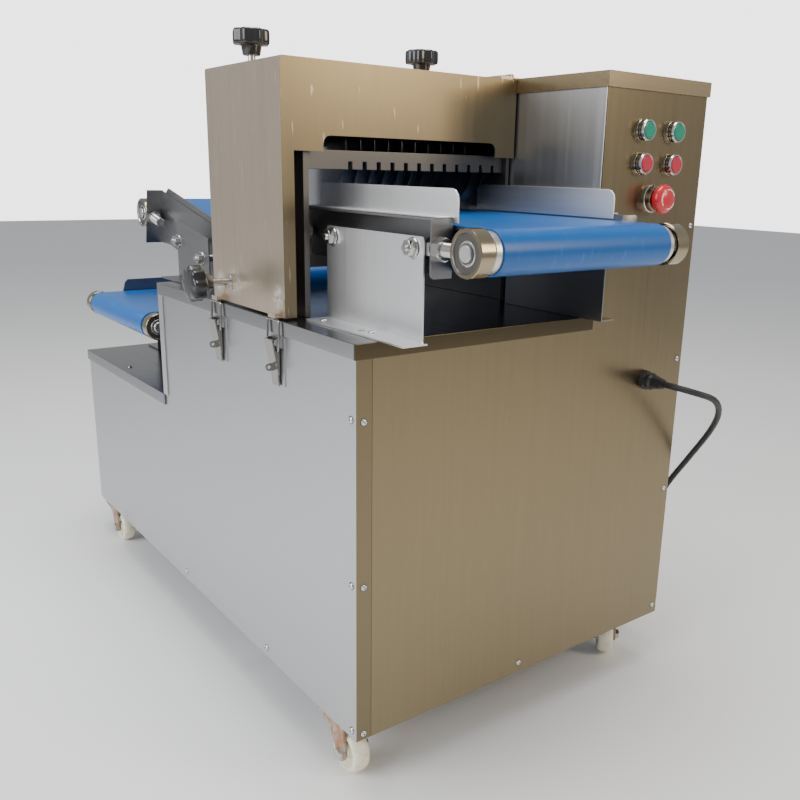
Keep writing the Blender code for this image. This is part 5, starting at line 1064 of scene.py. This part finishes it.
def shape_sections(head, count, lobes, radius):
    """Move each ring of the knob's vertices to its section's height and lobed outline."""
    rings = {}
    for vertex in head.data.vertices:
        rings.setdefault(round(vertex.co.z, 5), []).append(vertex)
    for z, (height, share) in zip(sorted(rings), KNOB_SECTIONS):
        for vertex in rings[z]:
            across = vertex.co - CORNER
            angle = math.atan2(across.y, across.x)
            reach = radius * share - 0.0034 * share * (1 - math.cos(lobes * angle)) / 2
            vertex.co = at(reach * math.cos(angle), reach * math.sin(angle), height)
    head.data.update()


class SLICER_OT_knobs(bpy.types.Operator):
    """Glossy star knobs on the cover"""
    bl_idname = "slicer.knobs"
    bl_label = "Make the knobs"

    def execute(self, context):
        knob = star_knob(context.scene.slicer_fasteners.lobes, 0.025, 0.013)
        for name, (x, y) in TOP_KNOBS.items():
            head = moved(knob, (x, y, 0.957))
            stud = bar((x, y, 0.925), (x, y, 0.946), 0.005, 24)
            washer = turned([(0.0052, 0.9322), (0.0120, 0.9322), (0.0120, 0.9338), (0.0052, 0.9338)], "Z",
                            (x, y, 0), 48, True)
            dress(head, name + "_head", "knob_plastic", name, (name,))
            dress(smooth(join(stud, washer)), name + "_stud", "bolt_steel", name)
        y, z = SIDE_KNOB
        head = moved(knob, (-0.047, y, z), facing((-1, 0, 0)))
        dress(head, "side_knob_head", "knob_plastic", "side_knob", ("side_knob",))
        stud = bar((-0.036, y, z), (0.006, y, z), 0.005, 24)
        dress(smooth(stud), "side_knob_stud", "bolt_steel", "side_knob")
        nut = placed(hexagon(0, 0.0101, 0.0118, 0.0055), (0.0028, y, z), facing((-1, 0, 0)))
        dress(nut, "side_nut", "bolt_steel", "cover")
        remove(knob)
        return {"FINISHED"}


class SLICER_OT_controls(bpy.types.Operator):
    """Chrome bezels, push buttons and the stop button"""
    bl_idname = "slicer.controls"
    bl_label = "Add the controls"

    def execute(self, context):
        steps = context.scene.slicer_fasteners.spin
        for side, x in BUTTONS_X.items():
            for colour, z in BUTTONS_Z.items():
                bezel = turned([(0.0111, -0.0002), (0.0151, -0.0002), (0.0151, -0.0030), (0.0144, -0.0040),
                                (0.0144, -0.0052), (0.0150, -0.0060), (0.0147, -0.0110), (0.0136, -0.0128),
                                (0.0120, -0.0130), (0.0111, -0.0122)], "Y", (x, 0, z), steps, True)
                dress(smooth(bezel, 25), colour + "_bezel_" + side, "chrome", "machine")
                cap = turned([(0, -0.0140), (0.0070, -0.0142), (0.0088, -0.0143), (0.0092, -0.0139),
                              (0.0096, -0.0143), (0.0104, -0.0142), (0.0109, -0.0136), (0.0109, -0.0050),
                              (0, -0.0050)], "Y", (x, 0, z), steps)
                node = colour + "_button_" + side
                dress(smooth(cap, 25), node + "_cap", colour + "_cap", node, (node,))
        x, z = STOP
        collar = turned([(0.0092, -0.0002), (0.0191, -0.0002), (0.0191, -0.0030), (0.0180, -0.0038),
                         (0.0176, -0.0070), (0.0172, -0.0112), (0.0160, -0.0121), (0.0092, -0.0121)],
                        "Y", (x, 0, z), steps, True)
        dress(smooth(collar, 25), "stop_collar", "chrome", "machine")
        head = turned([(0, -0.0318), (0.0060, -0.0317), (0.0110, -0.0309), (0.0150, -0.0294),
                       (0.0180, -0.0272),
                       (0.0196, -0.0245), (0.0200, -0.0220), (0.0196, -0.0188), (0.0184, -0.0168),
                       (0.0090, -0.0165), (0.0090, -0.0060), (0, -0.0060)], "Y", (x, 0, z), 64)
        dress(smooth(head, 40), "stop_head", "stop_red", "stop_button",
              ("stop_button",))
        arcs = [mark for start in (20, 140, 260) for mark in [stop_arc(x, z, start)]]
        dress(join(*arcs), "stop_marks", "mark_white", "stop_button")
        return {"FINISHED"}


def stop_arc(x, z, start):
    """Thin raised arc on the stop button's crown."""
    rim = arc((x, z), 0.0138, start, start + 80, 12)
    inner = arc((x, z), 0.0124, start + 80, start, 12)
    return panel(rim + inner, "XZ", -0.0309, -0.0290)


def caster_turn(angle):
    return Matrix.Rotation(math.radians(angle), 4, "Z")


def slotted(plane_x, plane_z, length, width, heading):
    """Outline of a slot in the fork's cheek, about its middle."""
    along = math.radians(heading)
    half = (length - width) / 2
    ends = [(plane_x + s * half * math.cos(along), plane_z + s * half * math.sin(along)) for s in (1, -1)]
    return arc(ends[0], width / 2, heading - 90, heading + 90, 8) + arc(ends[1], width / 2, heading + 90,
                                                                        heading + 270, 8)


def make_fork(braked):
    """Bent fork plates along the swivel's own axes, with the swivel race above."""
    top = 0.0817
    arm = 0.046 if braked else 0.020
    cheek = [(0.022, top), (0.030, top - 0.006), *reversed(arc((0.022, 0.032), 0.0112, 200, 372, 14)),
             (-0.006, top - 0.020), (-arm + 0.005, top - 0.0125),
             *reversed(arc((-arm + 0.006, top - 0.0062), 0.0062, 90, 250, 8))]
    parts = []
    for side in (-1, 1):
        low, high = sorted((side * 0.0151, side * 0.0183))
        plate = panel(cheek, "XZ", low, high)
        if braked:
            for x in (-0.0385, -0.0230):
                plate = cut(plate, panel(slotted(x, top - 0.0068, 0.0095, 0.0046, 0), "XZ", low - 0.01,
                                         high + 0.01))
        parts.append(rounded(plate, 0.0006, 2))
    crown = block((-0.020, -0.0183, top - 0.003), (0.021, 0.0183, top + 0.0001))
    parts.append(rounded(crown, 0.0012, 3))
    race = turned([(0, 0.0822), (0.0195, 0.0822), (0.0200, 0.0832), (0.0185, 0.0842), (0.0192, 0.0847),
                   (0, 0.0847)],
                  "Z", (0, 0, 0), 48)
    parts.append(smooth(race, 25))
    return smooth(join(*parts), 35)


def make_axle():
    head = placed(hexagon(0.0182, 0.0243, 0.0094), (0.022, 0, 0.032), facing((0, -1, 0)))
    nut = placed(hexagon(0.0182, 0.0238, 0.0090, 0.0048), (0.022, 0, 0.032), facing((0, 1, 0)))
    rod = bar((0.022, -0.019, 0.032), (0.022, 0.0245, 0.032), 0.005, 24)
    return smooth(join(head, nut, rod), 25)


def make_caster_wheel():
    half = 0.013
    profile = [(0.0053, half), (0.0100, half), (0.0112, half - 0.0012), (0.0118, 0.0052), (0.0195, 0.0050),
               (0.0212, 0.0066), (0.0222, half - 0.0030), (0.0236, half - 0.0006), (0.0262, half - 0.0002),
               (0.0286, half - 0.0014), (0.0306, half - 0.0042), (0.0317, half - 0.0080), (0.0320, 0.0)]
    profile += [(radius, -along) for radius, along in reversed(profile[:-1])]
    return smooth(turned(profile, "Y", (0.022, 0, 0.032), 64, True), 40)


def make_pedal():
    """Pressed brake pedal with its side flanges, about the pin at the fork's tail."""
    pin_x, pin_z = -0.040, 0.0757
    side = [*arc((pin_x, pin_z), 0.0057, 60, -110, 10), (pin_x - 0.030, pin_z - 0.0098),
            (pin_x - 0.0478, pin_z - 0.0042), (pin_x - 0.0482, pin_z - 0.0004),
            (pin_x - 0.028, pin_z - 0.0040)]
    body = panel(side, "XZ", -0.0129, 0.0129)
    body = cut(body, bar((pin_x, -0.02, pin_z), (pin_x, 0.02, pin_z), 0.0033, 24))
    return rounded(body, 0.0016, 3, 30)


class SLICER_OT_casters(bpy.types.Operator):
    """Four swivel casters, the left pair with brake pedals"""
    bl_idname = "slicer.casters"
    bl_label = "Make the casters"

    def execute(self, context):
        wheel = make_caster_wheel()
        axle = make_axle()
        forks = {True: make_fork(True), False: make_fork(False)}
        pedal = make_pedal()
        patch = rounded(block((-0.0740, -0.0131, 0.0672), (-0.0645, 0.0131, 0.0712)), 0.0008, 2)
        pin = bar((-0.040, -0.0196, 0.0757), (-0.040, 0.0196, 0.0757), 0.003, 24)
        for name, (x, y, angle) in CASTERS.items():
            braked = name.endswith("left")
            turn = caster_turn(angle)
            fork = name + "_fork"
            dress(moved(forks[braked], (x, y, 0), turn), fork + "_plates", "fork_steel", fork,
                  (fork,))
            dress(moved(axle, (x, y, 0), turn), name + "_axle", "bolt_steel", fork)
            tyre = name + "_wheel"
            dress(moved(wheel, (x, y, 0), turn), tyre + "_tyre", "nylon", tyre, (tyre,))
            if braked:
                foot = name + "_pedal"
                dress(moved(pedal, (x, y, 0), turn), foot + "_plate", "pedal_steel", foot,
                      (foot,))
                dress(moved(patch, (x, y, 0), turn), foot + "_patch", "pedal_red", foot)
                dress(moved(pin, (x, y, 0), turn), name + "_pin", "bolt_steel", fork)
        remove(wheel, axle, pedal, patch, pin, *forks.values())
        return {"FINISHED"}


SCREWS = {
    (0, -1, 0): [(0.011, 0, z) for z in (0.519, 0.307, 0.099)]
    + [(0.590, 0, z) for z in (0.733, 0.530, 0.315, 0.105)] + [(0.283, 0, 0.105)],
    (-1, 0, 0): [(0, 0.011, z) for z in (0.521, 0.308, 0.102)] + [(0, y, 0.105) for y in (0.250, 0.560,
                                                                                          0.880)],
    (1, 0, 0): [(0.600, 0.011, z) for z in (0.733, 0.521, 0.308, 0.102)] + [(0.600, 1.040,
                                                                             z) for z in (0.308, 0.102)],
    (0, 0, 1): [(0.0411, 0.1410, 0.6153), (0.0475, 0.0392, 0.6153), (0.493, 0.109, 0.934)]
    + [(0.0168, 0.845, 0.421)] + [(0.079, y, 0.753) for y in (-0.009, 0.204)],
    (0, 1, 0): [(x, 1.052, z) for x in (0.012, 0.588) for z in (0.320, 0.105)],
}


class SLICER_OT_screws(bpy.types.Operator):
    """Button-head screws of the panels"""
    bl_idname = "slicer.screws"
    bl_label = "Add the screws"

    def execute(self, context):
        radius = context.scene.slicer_fasteners.screw
        screw = turned([(0, -0.0006), (radius, -0.0006), (radius, 0.0003), (radius * 0.93, 0.0010),
                        (radius * 0.72, 0.0018), (radius * 0.45, 0.0022), (0, 0.0024)], "Z", (0, 0, 0), 32)
        screw = smooth(cut(screw, bar((0, 0, 0.0010), (0, 0, 0.004), 0.0016, 6)), 30)
        copies = [moved(screw, place, facing(axis)) for axis, places in SCREWS.items() for place in places]
        dress(join(*copies), "panel_screws", "chrome", "machine")
        # A thin dark ring round each screw head: painted shadow of the gap under the head.
        rim = turned([(radius, 0.0001), (radius + 0.0009, 0.0001), (radius + 0.0009, 0.0003),
                      (radius, 0.0003)],
                     "Z", (0, 0, 0), 32, True)
        gap_shadow_rings = [moved(rim, place, facing(axis)) for axis, places in SCREWS.items() for place in places]
        dress(join(*gap_shadow_rings), "screw_gap_shadows", "dark_steel", "machine")
        remove(screw, rim)
        return {"FINISHED"}


class SLICER_OT_gland(bpy.types.Operator):
    """Cable gland with its lock nut and ribbed strain relief"""
    bl_idname = "slicer.gland"
    bl_label = "Make the cable gland"

    def execute(self, context):
        x, z = GLAND
        nut = placed(hexagon(0, 0.009, 0.0149), (x, 0, z), facing((0, -1, 0)))
        profile = [(0.0049, -0.0005), (0.0128, -0.0005), (0.0128, -0.0160), (0.0112, -0.0180)]
        for i in range(5):
            y = -0.0195 - i * 0.0038
            wide = 0.0106 - i * 0.0008
            profile += [(wide, y), (wide, y - 0.0018), (wide - 0.0014, y - 0.0022),
                        (wide - 0.0014, y - 0.0034)]
        profile += [(0.0062, -0.0378), (0.0049, -0.0380)]
        sleeve = turned(profile, "Y", (x, 0, z), 48, True)
        dress(smooth(join(nut, sleeve), 30), "gland_body", "black_plastic", "machine",
              ("cable_gland",))
        return {"FINISHED"}


class SLICER_OT_blades(bpy.types.Operator):
    """Round blades, spacers and pulley on the arbor"""
    bl_idname = "slicer.blades"
    bl_label = "Make the blades"

    def execute(self, context):
        y, z = ARBOR
        blade = turned([(0.012, -0.0009), (0.078, -0.0009), (0.085, -0.0001), (0.085, 0.0001),
                        (0.078, 0.0009),
                        (0.012, 0.0009)], "Z", (0, 0, 0), 96, True)
        side = facing((1, 0, 0))
        discs = [moved(blade, (0.11225 + 0.0225 * i, y, z), side) for i in range(12)]
        shaft = turned([(0, 0.036), (0.012, 0.036), (0.012, 0.100), (0.022, 0.101), (0.022, 0.372),
                        (0.012, 0.373),
                        (0.012, 0.402), (0.060, 0.402), (0.060, 0.405), (0.057, 0.406), (0.057, 0.418),
                        (0.060, 0.419), (0.060, 0.422), (0.012, 0.422), (0, 0.424)], "X", (0, y, z), 64)
        gang = smooth(join(shaft, *discs), 25)
        dress(gang, "blade_discs", "blade_steel", "blade_gang", ("blade_gang",))
        remove(blade)
        return {"FINISHED"}


class SLICER_OT_stage(bpy.types.Operator):
    """Set the floor, the lights and the camera"""
    bl_idname = "slicer.stage"
    bl_label = "Set the stage"

    def execute(self, context):
        deselect()
        bpy.ops.mesh.primitive_plane_add(size=24, location=(0, 0, -0.0005))
        floor = bpy.context.object
        floor.name = "floor"
        graph = Graph("pale_floor")
        clouds = graph.noise((1.2, 1.2, 1.2), detail=3.0)
        floor.data.materials.append(graph.set(
            colour=graph.mix(clouds, (0.88, 0.88, 0.88), (0.93, 0.93, 0.93)), roughness=0.6))
        context.scene.world = studio_world()
        for name, place, aim, size, power, colour in LIGHTS:
            light = bpy.data.lights.new(name, "AREA")
            light.shape = "RECTANGLE"
            light.size, light.size_y = size
            light.energy = power
            light.color = colour
            obj = bpy.data.objects.new(name, light)
            obj.location = at(*place)
            obj.rotation_euler = (at(*aim) - at(*place)).to_track_quat("-Z", "Y").to_euler()
            context.scene.collection.objects.link(obj)
        add_camera(context)
        return {"FINISHED"}


def studio_world():
    """White backdrop for the camera, with dimmer grey surroundings for light and reflections."""
    world = bpy.data.worlds.new("studio")
    world.use_nodes = True
    nodes = world.node_tree.nodes
    links = world.node_tree.links
    shown = nodes["Background"]
    shown.inputs["Color"].default_value = (1.0, 1.0, 1.0, 1)
    shown.inputs["Strength"].default_value = 3.2
    around = nodes.new("ShaderNodeBackground")
    around.inputs["Color"].default_value = (0.95, 0.97, 1.0, 1)
    around.inputs["Strength"].default_value = 0.50
    path = nodes.new("ShaderNodeLightPath")
    mix = nodes.new("ShaderNodeMixShader")
    links.new(path.outputs["Is Camera Ray"], mix.inputs[0])
    links.new(around.outputs[0], mix.inputs[1])
    links.new(shown.outputs[0], mix.inputs[2])
    links.new(mix.outputs[0], nodes["World Output"].inputs["Surface"])
    return world


LIGHTS = (
    ("window_left", (-2.6, 0.5, 1.7), (0.0, 0.5, 0.4), (2.6, 2.0), 85, (0.96, 0.98, 1.0)),
    ("soft_top", (0.2, 0.3, 3.0), (0.3, 0.4, 0.5), (1.8, 1.8), 70, (1.0, 1.0, 1.0)),
    ("warm_front", (1.9, -2.4, 1.9), (0.4, 0.0, 0.6), (0.9, 1.5), 36, (1.0, 0.84, 0.62)),
)

CAMERA_PLACE = (-0.5116, -0.8038, 0.8027)
CAMERA_YAW = math.radians(-37.62)
CAMERA_PITCH = math.radians(15.50)
CAMERA_ROLL = math.radians(1.327)


def add_camera(context):
    forward = Vector((-math.sin(CAMERA_YAW) * math.cos(CAMERA_PITCH),
                      math.cos(CAMERA_YAW) * math.cos(CAMERA_PITCH), -math.sin(CAMERA_PITCH)))
    right = Vector((math.cos(CAMERA_YAW), math.sin(CAMERA_YAW), 0))
    up = right.cross(forward)
    cosine, sine = math.cos(CAMERA_ROLL), math.sin(CAMERA_ROLL)
    right, up = cosine * right + sine * up, cosine * up - sine * right
    camera = bpy.data.objects.new("camera", bpy.data.cameras.new("camera"))
    camera.data.sensor_width = 36
    camera.data.lens = 38.54
    camera.data.shift_x = -0.0380
    camera.data.shift_y = 0.0107
    camera.data.clip_end = 60
    turn = Matrix((right, up, -forward)).transposed()
    camera.matrix_world = Matrix.Translation(at(*CAMERA_PLACE)) @ turn.to_4x4()
    context.scene.collection.objects.link(camera)
    context.scene.camera = camera


class SLICER_PT_panel(bpy.types.Panel):
    """Sidebar panel with the slicer's settings and steps"""
    bl_label = "Frozen meat slicer"
    bl_idname = "SLICER_PT_panel"
    bl_space_type = "VIEW_3D"
    bl_region_type = "UI"
    bl_category = "Slicer"

    def draw(self, context):
        layout = self.layout
        for group in SETTINGS:
            settings = getattr(context.scene, group)
            for key in settings.__annotations__:
                layout.prop(settings, key)
        for operator in OPERATORS:
            layout.operator(operator.bl_idname)


SETTINGS = {"slicer_colours": ColourSettings, "slicer_sheet": SheetSettings,
            "slicer_fasteners": FastenerSettings, "slicer_cord": CordSettings}
OPERATORS = [SLICER_OT_finishes, SLICER_OT_cord, SLICER_OT_stage, SLICER_OT_sheets, SLICER_OT_belts,
             SLICER_OT_drums, SLICER_OT_bearings, SLICER_OT_tensioners, SLICER_OT_knobs, SLICER_OT_controls,
             SLICER_OT_casters, SLICER_OT_screws, SLICER_OT_gland, SLICER_OT_blades]


def register():
    for kind in (*SETTINGS.values(), *OPERATORS, SLICER_PT_panel):
        bpy.utils.register_class(kind)
    for name, kind in SETTINGS.items():
        setattr(bpy.types.Scene, name, PointerProperty(type=kind))


def unregister():
    for name in SETTINGS:
        delattr(bpy.types.Scene, name)
    for kind in (SLICER_PT_panel, *reversed(OPERATORS), *reversed(list(SETTINGS.values()))):
        bpy.utils.unregister_class(kind)


def main():
    register()
    for operator in OPERATORS:
        group, name = operator.bl_idname.split(".")
        getattr(getattr(bpy.ops, group), name)()
    deselect()


if __name__ == "__main__":
    main()
